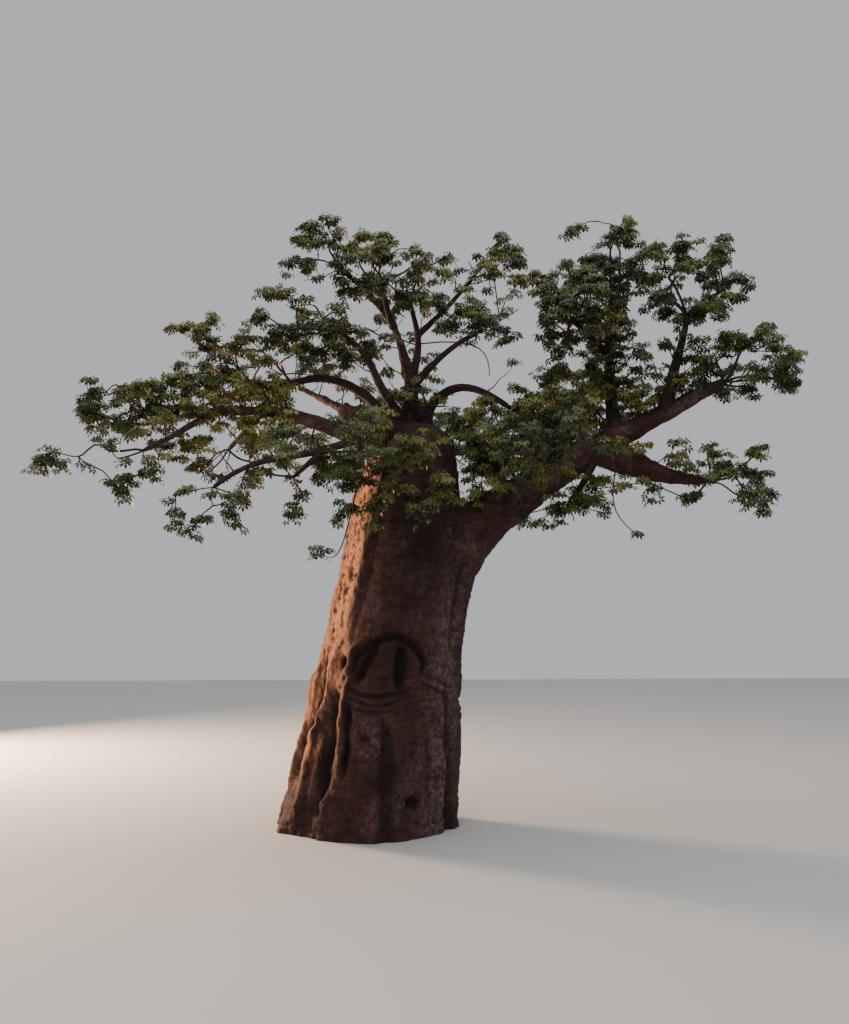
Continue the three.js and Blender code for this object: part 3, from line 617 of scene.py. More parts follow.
# Marks on the trunk's bark, each a line of (degrees round from +X, height) with a width and a
# height that it stands out by, or is sunk by where it is below zero.
barkMarks = {
    "archRim": (
        [
            (-129, 2.20), (-128, 2.52), (-122, 2.80), (-111, 2.98), (-95, 3.04), (-77, 2.99), (-64, 2.84),
            (-56, 2.60), (-57, 2.30),
        ],
        0.075, 0.055,
    ),
    "archHollow": (
        [
            (-122, 2.36), (-120, 2.62), (-112, 2.83), (-95, 2.91), (-78, 2.86), (-67, 2.72), (-62, 2.52),
            (-64, 2.30),
        ],
        0.055, -0.080,
    ),
    "archFloor": ([(-108, 2.62), (-97, 2.45), (-78, 2.60)], 0.260, -0.060),
    "leftSlot": ([(-104, 2.88), (-109, 2.70), (-114, 2.46), (-116, 2.24)], 0.075, -0.115),
    "column": ([(-94, 2.84), (-96, 2.58), (-100, 2.36), (-101, 2.10)], 0.110, 0.075),
    "rightSlot": ([(-83, 2.82), (-80, 2.52), (-82, 2.18)], 0.100, -0.130),
    "rightBulge": ([(-70, 2.68), (-67, 2.46), (-71, 2.26)], 0.080, 0.040),
    "wrinkleOne": ([(-125, 2.20), (-112, 2.10), (-96, 2.08), (-80, 2.13), (-70, 2.20)], 0.028, -0.032),
    "wrinkleTwo": ([(-121, 2.03), (-106, 1.95), (-90, 1.93), (-78, 1.99)], 0.028, -0.030),
    "wrinkleThree": ([(-64, 2.31), (-50, 2.25), (-36, 2.15)], 0.030, -0.020),
    "wrinkleFour": ([(-114, 1.86), (-98, 1.79), (-82, 1.84)], 0.024, -0.020),
    "wrinkleFive": ([(-99, 4.14), (-80, 4.08), (-64, 4.13)], 0.026, -0.018),
    "wrinkleSix": ([(-94, 3.93), (-76, 3.87), (-61, 3.93)], 0.024, -0.016),
    "wrinkleSeven": ([(-88, 3.52), (-70, 3.47), (-55, 3.52)], 0.024, -0.014),
    "loopRim": (
        [(-108, 1.34), (-108, 1.50), (-102, 1.55), (-97, 1.46), (-98, 1.32), (-103, 1.26)], 0.040, 0.030,
    ),
    "loopHollow": ([(-103, 1.50), (-102, 1.36)], 0.050, -0.045),
    "midGroove": (
        [(-92, 1.75), (-86.5, 1.45), (-84.5, 1.16), (-83, 0.80), (-82, 0.44), (-81, -0.2)], 0.130, -0.125,
    ),
    "midCrack": ([(-91, 1.50), (-87, 1.05), (-83, 0.60)], 0.040, -0.040),
    "footHollow": ([(-68, 0.54), (-58, 0.47)], 0.075, -0.085),
    "footLip": ([(-71, 0.66), (-57, 0.61)], 0.060, 0.030),
    "leftEdgeRidge": ([(-160, 3.0), (-162, 2.3), (-166, 1.7), (-170, 1.1), (-172, 0.3)], 0.150, 0.040),
    "leftEdgeGroove": ([(-152, 2.55), (-149, 2.15), (-152, 1.75), (-159, 1.35), (-163, 0.9)], 0.042, -0.045),
    "leftRidge": (
        [(-142, 2.90), (-144, 2.40), (-145, 1.95), (-150, 1.52), (-153, 1.19), (-153, 0.75), (-148, 0.20)],
        0.120, 0.080,
    ),
    "leftHole": ([(-132, 2.64), (-130, 2.43)], 0.055, -0.120),
    "leftDeepGroove": (
        [(-134, 2.05), (-134, 1.80), (-133, 1.45), (-133, 1.10), (-132, 0.74), (-130, 0.40)], 0.120, -0.190,
    ),
    "valleyColumn": ([(-142, 1.40), (-141, 0.90), (-139, 0.30)], 0.075, 0.060),
    "thirdRidge": (
        [(-125, 2.75), (-122, 2.30), (-122, 1.96), (-123, 1.66), (-122, 1.33), (-119, 0.90)], 0.065, 0.060,
    ),
    "nearGroove": ([(-119, 1.95), (-117, 1.60), (-116, 1.30), (-114, 0.90)], 0.055, -0.080),
    "nearRidge": ([(-112, 2.00), (-110, 1.35), (-109, 0.92), (-106, 0.35)], 0.130, 0.050),
    "rootAcross": ([(-136, 0.66), (-124, 0.48), (-110, 0.34), (-99, 0.20), (-90, 0.05)], 0.080, 0.085),
    "nearToe": ([(-104, 1.0), (-101, 0.45), (-99, -0.2)], 0.140, 0.040),
    "rightBand": ([(-50, 2.3), (-45, 1.7), (-39, 1.1), (-31, -0.2)], 0.190, 0.035),
    "rightGroove": ([(-40, 2.20), (-34.5, 1.74), (-30, 1.20), (-25, 0.70), (-17, -0.2)], 0.105, -0.085),
    "rightPleat": ([(-58, 1.55), (-54, 1.0), (-50, 0.4)], 0.060, -0.035),
    "edgeNotch": ([(-9, 1.98), (-3, 1.84), (1, 1.70)], 0.060, -0.090),
    "edgeVein": ([(-4, 4.45), (-6, 4.00), (-9, 3.60), (-17, 2.90), (-18, 2.30), (-10, 1.92)], 0.034, 0.036),
    "rippleOne": ([(-64, 2.20), (-50, 2.10), (-34, 2.00)], 0.026, -0.022),
    "rippleTwo": ([(-126, 2.02), (-118, 1.90), (-104, 1.84), (-90, 1.83)], 0.026, -0.024),
    "boughCrease": ([(-10, 4.80), (-22, 4.35), (-30, 3.85), (-33, 3.20), (-35, 2.75)], 0.070, -0.045),
    "upperFurrow": ([(-110, 5.4), (-117, 4.5), (-123, 3.7), (-127, 3.1)], 0.100, -0.032),
    "upperRidge": ([(-121, 5.4), (-127, 4.5), (-133, 3.7), (-136, 3.0)], 0.110, 0.030),
    "frontFurrow": ([(-84, 5.4), (-90, 4.5), (-97, 3.6)], 0.090, -0.026),
    "archStem": ([(-40, 5.5), (-47, 4.8), (-50, 3.9)], 0.110, 0.035),
}

# The far side doesn't show in the photograph: folds, furrows and knots like those in front.
farSide = {
    "furrows": 7,
    "wrinkles": 9,
    "knots": 3,
    "fromTurn": -6,
    "toTurn": 190,
    "seed": 31,
}


def farSideMarks():
    chance = np.random.default_rng(farSide["seed"])
    span = farSide["toTurn"] - farSide["fromTurn"]
    marks = {}
    for number in range(farSide["furrows"]):
        turn = farSide["fromTurn"] + span * (number + 0.5) / farSide["furrows"] + chance.uniform(-9, 9)
        top = chance.uniform(1.2, 3.6)
        foot = chance.choice([-0.2, chance.uniform(0.2, 0.9)])
        drift = chance.uniform(-12, 12)
        path = []
        for part in (0, 0.3, 0.6, 1):
            path.append((turn + drift * part**1.5 + chance.uniform(-3, 3), top + (foot - top) * part))
        marks[f"furrow{number}"] = (path, chance.uniform(0.07, 0.14), -chance.uniform(0.05, 0.12))
        side = [(turn + chance.uniform(8, 12), height) for turn, height in path]
        marks[f"ridge{number}"] = (side, chance.uniform(0.10, 0.16), chance.uniform(0.03, 0.06))
    for number in range(farSide["wrinkles"]):
        turn = chance.uniform(farSide["fromTurn"], farSide["toTurn"] - 30)
        height = chance.uniform(1.3, 5.0)
        wide = chance.uniform(14, 30)
        path = [(turn, height), (turn + wide / 2, height - 0.06), (turn + wide, height + 0.02)]
        marks[f"wrinkle{number}"] = (path, 0.028, -chance.uniform(0.018, 0.032))
    for number in range(farSide["knots"]):
        turn = farSide["fromTurn"] + span * (number + 0.5) / farSide["knots"] + chance.uniform(-14, 14)
        height = chance.uniform(1.6, 4.6)
        size = chance.uniform(3.5, 6.0)
        ring = np.linspace(0.3, 2 * np.pi, 9)
        path = [(turn + size * np.cos(a), height + 0.024 * size * np.sin(a)) for a in ring]
        marks[f"knotRim{number}"] = (path, 0.055, 0.040)
        marks[f"knotHollow{number}"] = ([(turn, height + 0.03), (turn, height - 0.03)], 0.065, -0.050)
    return marks


# How far the marks move the bark at each place, how much painted shade it gets from lying deep in a sunk
# mark, and how worn it is.
def markRelief(turn, height):
    relief = np.zeros(len(turn))
    paintedShade = np.zeros(len(turn))
    worn = np.zeros(len(turn))
    radius = trunkRadius(turn, np.clip(height, 0, trunkShape["height"]))
    for path, width, stand in [*barkMarks.values(), *farSideMarks().values()]:
        path = np.array(path)
        steps = np.hypot(np.radians(np.diff(path[:, 0])) * 1.1, np.diff(path[:, 1]))
        ends = np.concatenate([[0], np.cumsum(steps)]) / steps.sum()
        nearest = np.full(len(turn), np.inf)
        along = np.zeros(len(turn))
        for number in range(len(steps)):
            (turnA, heightA), (turnB, heightB) = path[number : number + 2]
            wayU = np.radians(turnB - turnA) * radius
            wayV = heightB - heightA
            offU = (np.mod(turn - np.radians(turnA) + np.pi, 2 * np.pi) - np.pi) * radius
            offV = height - heightA
            part = np.clip((offU * wayU + offV * wayV) / (wayU**2 + wayV**2), 0, 1)
            distance = np.hypot(offU - part * wayU, offV - part * wayV)
            closer = distance < nearest
            nearest = np.where(closer, distance, nearest)
            along = np.where(closer, ends[number] + part * (ends[number + 1] - ends[number]), along)
        fromEnd = np.minimum(along, np.where(path[-1, 1] < 0, 1, 1 - along))
        taper = np.clip(fromEnd / 0.22, 0, 1) ** 0.7
        falloff = np.exp(-((nearest / (width * (0.45 + 0.55 * taper))) ** 2)) * (0.25 + 0.75 * taper)
        relief += stand * falloff
        # Sunk marks get painted shade, the more the deeper they are for their width.
        if stand < 0:
            paintedShade = np.maximum(paintedShade, np.clip(1.7 * falloff, 0, 1) * min(1, -stand / (1.3 * width)))
        elif width < 0.04:
            worn = np.maximum(worn, falloff)
    return relief, paintedShade, worn


# The bark's own relief: the marks and folds on the trunk, and a simpler skin on the boughs. It also gives the
# masks of painted shade, of the coppery side with painted sunlight, and of the grey face.
def barkRelief(points, normals):
    turn, reach, radius = trunkPlace(points, np.clip(points[:, 2], 0, trunkShape["height"]))
    onTrunk = np.clip(1 - (reach - radius - 0.02) / 0.16, 0, 1)
    onTrunk *= np.clip((trunkShape["height"] - 0.25 - points[:, 2]) / 0.5, 0, 1)
    # The marks wander a little, so that none runs straight.
    astray = 0.050 * softNoise(points * 2.3, 61) + 0.020 * softNoise(points * 7.0, 62)
    aloft = 0.055 * softNoise(points * 2.3, 63) + 0.020 * softNoise(points * 7.0, 64)
    relief, paintedShade, worn = markRelief(turn + astray, points[:, 2] + aloft)
    relief *= 1 + 0.35 * softNoise(points * 4.0, 65)
    # The left side, where the bark is partly coppery of itself and partly painted with sunlight.
    fromLeft = np.mod(np.degrees(turn) + 150 + 180, 360) - 180
    sunlitCopperSide = np.exp(-((fromLeft / 26) ** 2)) * np.clip((points[:, 2] - 0.5) / 1.2, 0, 1)
    low = np.exp(-points[:, 2] / 1.8)
    relief += 0.024 * roughNoise(points * (1.7, 1.7, 0.8), 3)
    relief += (0.012 + 0.022 * low) * roughNoise(points * (5.0, 5.0, 1.3), 7)
    # Wrinkles run round the trunk, most of them in front and below the scar.
    rumple = points * (2.3, 2.3, 9.5) + 0.5 * softNoise(points * 2.1, 13)[:, None]
    wrinkles = np.exp(-((softNoise(rumple, 11) / 0.16) ** 2))
    wrinkles += 0.6 * np.exp(-((softNoise(rumple * 1.9, 12) / 0.18) ** 2))
    relief -= (0.009 + 0.010 * np.clip(2 * softNoise(points * 0.9, 14) + 0.5, 0, 1)) * wrinkles
    relief += 0.016 * softNoise(points * (3.6, 3.6, 3.0), 15)
    pits = softNoise(points * (23, 23, 12), 17)
    relief += (0.007 + 0.012 * sunlitCopperSide) * softNoise(points * (14, 14, 10), 19)
    relief -= (0.006 + 0.016 * sunlitCopperSide) * np.clip(pits, 0, 1)
    # Painted shade in the pits of the left side.
    paintedShade = np.maximum(paintedShade, sunlitCopperSide * 0.5 * np.clip(pits * 1.6 - 0.4, 0, 1))
    rings = np.exp(-((np.abs(softNoise(points * 6.3, 29)) / 0.16) ** 2))
    limbRelief = 0.018 * roughNoise(points * 4.1, 23) - 0.010 * rings
    moved = relief * onTrunk + limbRelief * (1 - onTrunk)
    # Painted shade in the deeper wrinkles.
    paintedShade = np.maximum(paintedShade, 0.45 * np.clip(wrinkles - 0.35, 0, 1))
    # Painted shadow: under the crown the front is darkened nearly to black, as the crown's shade falls there.
    crownShadow = np.exp(-(((np.degrees(turn) + 72) / 38) ** 2)) * np.clip((points[:, 2] - 2.7) / 1.6, 0, 1)
    paintedShade = np.maximum(paintedShade, 0.55 * crownShadow)
    rightFace = np.exp(-(((np.degrees(turn) + 38) / 20) ** 2)) * np.clip((4.6 - points[:, 2]) / 1.5, 0, 1)
    rightFace = np.maximum(rightFace, worn)
    return points + normals * moved[:, None], paintedShade * onTrunk, sunlitCopperSide * onTrunk, rightFace * onTrunk


def roughSkin():
    spots, quads, caps = trunkSkin()
    parts = [(spots, [quads, *caps])]
    for name in heavyLimbs:
        points, radii = limbRings(name, barkLook["boughRings"])
        spots, quads, caps = rods(points[None], radii[None], barkLook["boughSides"])
        parts.append((spots, [quads, caps]))
    return meshFrom("roughSkin", *joinParts(parts), [])


# How near each point lies to where two limbs meet, from 0 to 1.
def collarShare(points):
    _, reach, radius = trunkPlace(points, np.clip(points[:, 2], 0, trunkShape["height"]))
    distances = [np.abs(reach - radius) + np.maximum(points[:, 2] - trunkShape["height"], 0)]
    for name in heavyLimbs:
        distances.append(np.abs(limbDistance(points, name)))
    second = np.sort(np.stack(distances), axis=0)[1]
    return np.clip(1 - second / barkLook["collarWidth"], 0, 1) * np.clip(points[:, 2] / 0.4, 0, 1)


def pointArray(mesh, kind):
    values = np.empty(len(mesh.vertices) * 3, dtype=np.float32)
    mesh.vertices.foreach_get(kind, values)
    return values.reshape(-1, 3).astype(float)


def movePoints(mesh, points):
    mesh.vertices.foreach_set("co", points.astype(np.float32).ravel())
    mesh.update()


def barkPiece(materials):
    mesh = remeshed(roughSkin(), barkLook["voxel"])
    points = pointArray(mesh, "co")
    print("bark skin has", len(points), "points")
    ends = edgeArrays(mesh)
    points = smoothed(points, ends, collarShare(points), barkLook["collarSmoothing"])
    points = smoothed(points, ends, np.full(len(points), barkLook["skinSmoothing"]), 2)
    movePoints(mesh, points)
    points, paintedShade, sunlitCopperSide, rightFace = barkRelief(points, pointArray(mesh, "normal"))
    movePoints(mesh, points)
    # Painted sunlight: the coppery lit colour only where the surface itself faces left and back, towards the
    # low sun.
    sunFacing = 1.6 * pointArray(mesh, "normal") @ np.array((-0.85, 0.53, 0))
    sunlitCopperSide = sunlitCopperSide * np.clip(sunFacing + 0.50, 0, 1)
    for name, values in (("paintedShade", paintedShade), ("sunlitCopperSide", sunlitCopperSide), ("rightFace", rightFace)):
        attribute = mesh.attributes.new(name, "FLOAT", "POINT")
        attribute.data.foreach_set("value", values.astype(np.float32))
    cutFlat(mesh)
    mesh.polygons.foreach_set("use_smooth", np.ones(len(mesh.polygons), dtype=bool))
    mesh.materials.clear()
    for material in materials:
        mesh.materials.append(material)
    mesh.update()
    piece = bpy.data.objects.new("trunk_and_bough_bark", mesh)
    bpy.context.scene.collection.objects.link(piece)
    standIn(piece, ["trunk", *heavyLimbs])


# Takes off what reaches below the ground and closes the cut with one flat face.
def cutFlat(mesh):
    work = bmesh.new()
    work.from_mesh(mesh)
    everything = work.verts[:] + work.edges[:] + work.faces[:]
    ground = dict(plane_co=(0, 0, 0), plane_no=(0, 0, 1))
    cut = bmesh.ops.bisect_plane(work, geom=everything, clear_inner=True, **ground)
    rim = [part for part in cut["geom_cut"] if isinstance(part, bmesh.types.BMEdge)]
    bmesh.ops.holes_fill(work, edges=rim, sides=0)
    work.to_mesh(mesh)
    work.free()


def slenderPiece(materials):
    names = [name for name in limbs if name not in heavyLimbs]
    parts = []
    sides = barkLook["slenderSides"]
    for name in names:
        points, radii = limbRings(name, barkLook["slenderRings"])
        spots, quads, caps = rods(points[None], radii[None], sides)
        outward = unit(spots - np.repeat(points, sides, axis=0))
        uneven = barkLook["slenderRoughness"] * roughNoise(spots * 7.0, 5) * np.repeat(radii, sides)
        spots = spots + outward * uneven[:, None]
        parts.append((spots, [quads, caps]))
    points, groups = joinParts(parts)
    piece = meshFrom("slender_bough_bark", points, groups, materials)
    for name in ("paintedShade", "sunlitCopperSide", "rightFace"):
        piece.data.attributes.new(name, "FLOAT", "POINT")
    standIn(piece, names)


# Gives a socket its value: another node's output, or a number or colour.
def plugIn(tree, socket, value):
    if isinstance(value, bpy.types.NodeSocket):
        tree.links.new(value, socket)
    else:
        socket.default_value = value


def mixOf(tree, share, one, other):
    node = tree.nodes.new("ShaderNodeMix")
    node.data_type = "RGBA"
    for number, value in ((0, share), (6, one), (7, other)):
        plugIn(tree, node.inputs[number], value)
    return node.outputs[2]


def rangeOf(tree, value, low, high, toLow=0.0, toHigh=1.0):
    node = tree.nodes.new("ShaderNodeMapRange")
    tree.links.new(value, node.inputs["Value"])
    for name, number in (("From Min", low), ("From Max", high), ("To Min", toLow), ("To Max", toHigh)):
        node.inputs[name].default_value = number
    return node.outputs["Result"]


def mathOf(tree, kind, one, other):
    node = tree.nodes.new("ShaderNodeMath")
    node.operation = kind
    plugIn(tree, node.inputs[0], one)
    plugIn(tree, node.inputs[1], other)
    return node.outputs[0]


def noiseOf(tree, place, stretch, scale, detail=4.0, roughness=0.6):
    mapping = tree.nodes.new("ShaderNodeMapping")
    mapping.inputs["Scale"].default_value = stretch
    tree.links.new(place, mapping.inputs["Vector"])
    pattern = tree.nodes.new("ShaderNodeTexNoise")
    pattern.inputs["Scale"].default_value = scale
    pattern.inputs["Detail"].default_value = detail
    pattern.inputs["Roughness"].default_value = roughness
    tree.links.new(mapping.outputs["Vector"], pattern.inputs["Vector"])
    return pattern.outputs["Fac"]


def attributeOf(tree, label):
    node = tree.nodes.new("ShaderNodeAttribute")
    node.attribute_name = label
    return node.outputs["Fac"]


def addBump(tree, height, strength, distance):
    bump = tree.nodes.new("ShaderNodeBump")
    bump.inputs["Strength"].default_value = strength
    bump.inputs["Distance"].default_value = distance
    tree.links.new(height, bump.inputs["Height"])
    tree.links.new(bump.outputs["Normal"], tree.nodes["Principled BSDF"].inputs["Normal"])


def newMaterial(name):
    material = bpy.data.materials.new(name)
    material.use_nodes = True
    tree = material.node_tree
    place = tree.nodes.new("ShaderNodeTexCoord").outputs["Object"]
    return material, tree, tree.nodes["Principled BSDF"], place


barkColours = {
    "red": (0.068, 0.028, 0.0225, 1),
    "deep": (0.031, 0.0135, 0.0115, 1),
    "grey": (0.215, 0.138, 0.129, 1),
    # Coppery colour brightened with painted sunlight, for the left side.
    "sunlitCopper": (0.730, 0.300, 0.142, 1),
    # Near black, for painted shade.
    "paintedShadeBlack": (0.009, 0.005, 0.004, 1),
}


# Deep and red bark in folds, grey in patches and on worn places, coppery with painted sunlight on the left,
# and painted shade, nearly black, in hollows, pits, wrinkles and under the crown.
def barkMaterial(name, colours, greyShare):
    material, tree, shader, place = newMaterial(name)
    patches = noiseOf(tree, place, (1, 1, 0.7), 1.5, 5)
    folds = noiseOf(tree, place, (1, 1, 3.4), 4.2, 6, 0.62)
    streaks = noiseOf(tree, place, (1, 1, 0.30), 7.0, 5, 0.6)
    mottle = noiseOf(tree, place, (1, 1, 0.9), 15.0, 7, 0.72)
    grain = noiseOf(tree, place, (1, 1, 0.8), 70.0, 6, 0.7)
    tone = mathOf(tree, "ADD", mathOf(tree, "MULTIPLY", folds, 0.55), mathOf(tree, "MULTIPLY", streaks, 0.45))
    colour = mixOf(tree, rangeOf(tree, tone, 0.40, 0.60), colours["deep"], colours["red"])
    greyness = mathOf(tree, "MULTIPLY", rangeOf(tree, patches, 0.46, 0.66), greyShare)
    greyness = mathOf(tree, "MAXIMUM", greyness, attributeOf(tree, "rightFace"))
    greyness = mathOf(tree, "MULTIPLY", greyness, rangeOf(tree, mottle, 0.44, 0.60, 0.10, 0.95))
    colour = mixOf(tree, greyness, colour, colours["grey"])
    # Painted sunlight on the coppery left side, mottled.
    sunlitCopperShare = rangeOf(tree, mottle, 0.35, 0.60, 0.45, 0.95)
    sunlitCopperShare = mathOf(tree, "MULTIPLY", attributeOf(tree, "sunlitCopperSide"), sunlitCopperShare)
    colour = mixOf(tree, sunlitCopperShare, colour, colours["sunlitCopper"])
    colour = mixOf(tree, rangeOf(tree, grain, 0.42, 0.32, 0.0, 0.55), colour, colours["deep"])
    # Painted shade darkens the bark nearly to black where the mask says.
    paintedShadeShare = mathOf(tree, "MULTIPLY", attributeOf(tree, "paintedShade"), 0.92)
    colour = mixOf(tree, paintedShadeShare, colour, colours["paintedShadeBlack"])
    tree.links.new(colour, shader.inputs["Base Color"])
    tree.links.new(rangeOf(tree, mottle, 0.3, 0.7, 0.78, 0.98), shader.inputs["Roughness"])
    shader.inputs["Specular IOR Level"].default_value = 0.25
    relief = mathOf(tree, "ADD", mathOf(tree, "MULTIPLY", folds, 1.3), mathOf(tree, "MULTIPLY", mottle, 0.9))
    relief = mathOf(tree, "ADD", relief, mathOf(tree, "MULTIPLY", grain, 0.45))
    addBump(tree, relief, 0.9, 0.035)
    return material


trunkBark = barkMaterial("trunkBark", barkColours, 0.75)
# The boughs' bark is the trunk's darkened with painted shade, as the crown shades the boughs: darker red and
# grey.
shadedBoughColours = dict(barkColours, red=(0.044, 0.027, 0.023, 1), grey=(0.082, 0.062, 0.057, 1))
shadedBoughBark = barkMaterial("shadedBoughBark", shadedBoughColours, 0.95)

barkPiece([trunkBark])
print("trunk and heavy boughs dressed in bark")
slenderPiece([shadedBoughBark])
print("slender boughs dressed in bark")

# How a mass grows, by the solid's rule, and how much further the visible one goes.
growth = {
    "firstTwigs": 1.86,  # twig ends of the solid's rule, for each square metre of the mass
    "fineTwigs": 12.5,  # and of the finer twigs that grow on from them
    "firstShell": (0.25, 0.66),
    "fineShell": (0.30, 1.0),
    "slack": 1.12,
    "leafSlack": 1.22,  # how far out, in half sizes, the shortest twigs and the hanging ones may reach
    "pathShare": 0.45,
    "limbRoom": 0.04,
    "massRoom": 0.014,
    "nearby": 0.3,  # how far outside a mass a limb still counts for it
    "twigRadius": 0.0080,
    "twigGrowth": 0.0052,
    "forkShare": 0.75,
    "twigBend": 0.06,
    "twigBow": 0.8,
    "twigTurn": 0.25,  # how much each twig's way strays at its end
    "twigRise": 0.10,
    "boxRoom": 0.02,  # how far past the solid's own box a rosette's middle may lie
    "seed": 11,
}

spreadSteps = np.array([0.8191725134, 0.6710436067, 0.5497004779])  # fills a space evenly
goldenAngle = 2.399963
up = np.array((0.0, 0.0, 1.0))


def spread(index, seed):
    return (seed * (0.137 + 0.211 * np.arange(3)) + (index + 1) * spreadSteps) % 1


# The limbs' middle lines as straight bars with radii: all of them, or those near an ellipsoid.
def limbBars(middle=None, half=None):
    starts, ways, radii = [], [], []
    for name, limb in limbs.items():
        line = lines[name]
        near = np.ones(len(line), bool)
        if middle is not None:
            reach = half * growth["leafSlack"] + limb["girth"] + growth["nearby"]
            near = np.linalg.norm((line - middle) / reach, axis=1) < 1
        steps = np.flatnonzero(near[:-1] | near[1:])
        starts.append(line[steps])
        ways.append(line[steps + 1] - line[steps])
        radii.append(limbRadius(limb, steps / limbSteps))
    return np.concatenate(starts), np.concatenate(ways), np.concatenate(radii)


def massFacts(name):
    bough, middle, half, fullness = masses[name]
    middle, half = np.array(middle), np.array(half)
    ways, borders = [], []
    for otherName, (_, otherMiddle, otherHalf, _) in masses.items():
        if otherName == name:
            continue
        way = np.array(otherMiddle) - middle
        distance = np.linalg.norm(way)
        way = way / distance
        own = 1 / np.linalg.norm(way / half)
        other = 1 / np.linalg.norm(way / np.array(otherHalf))
        ways.append(way)
        borders.append(distance * own / (own + other) - growth["massRoom"])
    return dict(
        bough=bough, middle=middle, half=half, ways=np.array(ways), borders=np.array(borders),
        bars=limbBars(middle, half), seed=list(masses).index(name) + 1,
        area=np.pi * (half[0] * half[1] + half[0] * half[2] + half[1] * half[2]) / 3, fullness=fullness,
    )


def offTheWood(bars, points, room):
    _, reach, radius = trunkPlace(points, np.minimum(points[:, 2], trunkShape["height"]))
    free = (points[:, 2] > trunkShape["height"] + room) | (reach > radius + room)
    starts, ways, radii = bars
    offsets = points[:, None] - starts
    part = np.clip((offsets * ways).sum(-1) / (ways * ways).sum(-1), 0, 1)
    distance = np.linalg.norm(offsets - part[..., None] * ways, axis=-1)
    return free & (distance > radii + room).all(axis=1)


def isFree(facts, points, slack, room=growth["limbRoom"]):
    offset = points - facts["middle"]
    free = np.linalg.norm(offset / facts["half"], axis=1) <= slack
    free &= (offset @ facts["ways"].T < facts["borders"]).all(axis=1)
    inside = np.flatnonzero(free)
    if len(inside):
        free[inside] = offTheWood(facts["bars"], points[inside], room)
    return free


# Where twigs are to end: the solid's own ends first, then finer ones by the same sequence.
def twigEnds(facts):
    first = round(growth["firstTwigs"] * facts["area"])
    fine = round(growth["fineTwigs"] * facts["area"] * facts["fullness"])
    found = ([], [])
    for index in range(12 * (first + fine)):
        early = len(found[0]) < first and index < 12 * first
        if not early and len(found[1]) >= fine:
            break
        low, high = growth["firstShell"] if early else growth["fineShell"]
        out, tall, turn = spread(index, facts["seed"])
        share = low + (high - low) * np.sqrt(out)
        rise = 1 - 2 * tall
        level = np.sqrt(1 - rise * rise)
        way = np.array([level * np.cos(2 * np.pi * turn), level * np.sin(2 * np.pi * turn), rise])
        end = facts["middle"] + facts["half"] * share * way
        if isFree(facts, end[None], 1)[0]:
            found[0 if early else 1].append(end)
    return found


def clearWays(facts, start, ends):
    shares = np.array([0.25, 0.5, 0.75, 1])[:, None, None]
    points = start + (ends - start) * shares
    return isFree(facts, points.reshape(-1, 3), growth["slack"]).reshape(4, -1).all(axis=0)


def joinCost(facts, joint, ends):
    cost = np.linalg.norm(ends - joint["point"], axis=1) + growth["pathShare"] * joint["path"]
    return np.where(clearWays(facts, joint["point"], ends), cost, np.inf)


# Joins each end to the twigs so far where the way is short, both to them and on to the stem.
def growTwigs(facts, joints, ends):
    ends = np.array(ends)
    waiting = np.ones(len(ends), bool)
    costs = [joinCost(facts, joint, ends) for joint in joints]
    while waiting.any():
        table = np.where(waiting, np.array(costs), np.inf)
        at, index = np.unravel_index(np.argmin(table), table.shape)
        if not np.isfinite(table[at, index]):
            break
        waiting[index] = False
        path = joints[at]["path"] + np.linalg.norm(ends[index] - joints[at]["point"])
        joints.append(dict(point=ends[index], path=path, parent=at, load=0))
        costs.append(joinCost(facts, joints[-1], ends))
    return joints


def loadTwigs(joints, stemRadius):
    for joint in joints[1:]:
        at = joint
        while at is not None:
            at["load"] += 1
            at = None if at["parent"] is None else joints[at["parent"]]
    joints[0]["radius"] = stemRadius
    for joint in joints[1:]:
        wanted = growth["twigRadius"] + growth["twigGrowth"] * np.sqrt(joint["load"] - 1)
        joint["start"] = min(1.1 * wanted, growth["forkShare"] * joints[joint["parent"]]["radius"])
        joint["radius"] = min(wanted, joint["start"])


# Each twig leaves the one before in a bow, half along that one's own way.
def twigRods(joints, heading, chance):
    share = np.linspace(0, 1, 5)
    joints[0]["way"] = heading
    points, radii = [], []
    for joint in joints[1:]:
        parent = joints[joint["parent"]]
        chord = joint["point"] - parent["point"]
        length = np.linalg.norm(chord)
        leaving = unit(chord / length + growth["twigBow"] * parent["way"])
        astray = chance.normal(size=3) * growth["twigTurn"]
        joint["way"] = unit(chord / length + astray + growth["twigRise"] * up)
        t = share[:, None]
        path = parent["point"] + (3 * t**2 - 2 * t**3) * chord
        path = path + (t**3 - 2 * t**2 + t) * length * leaving + (t**3 - t**2) * length * joint["way"]
        points.append(path + chance.normal(size=3) * growth["twigBend"] * length * np.sin(2 * np.pi * t) / 2)
        radii.append(np.interp(share, [0, 1], [joint["start"], joint["radius"]]))
    return np.array(points), np.array(radii)


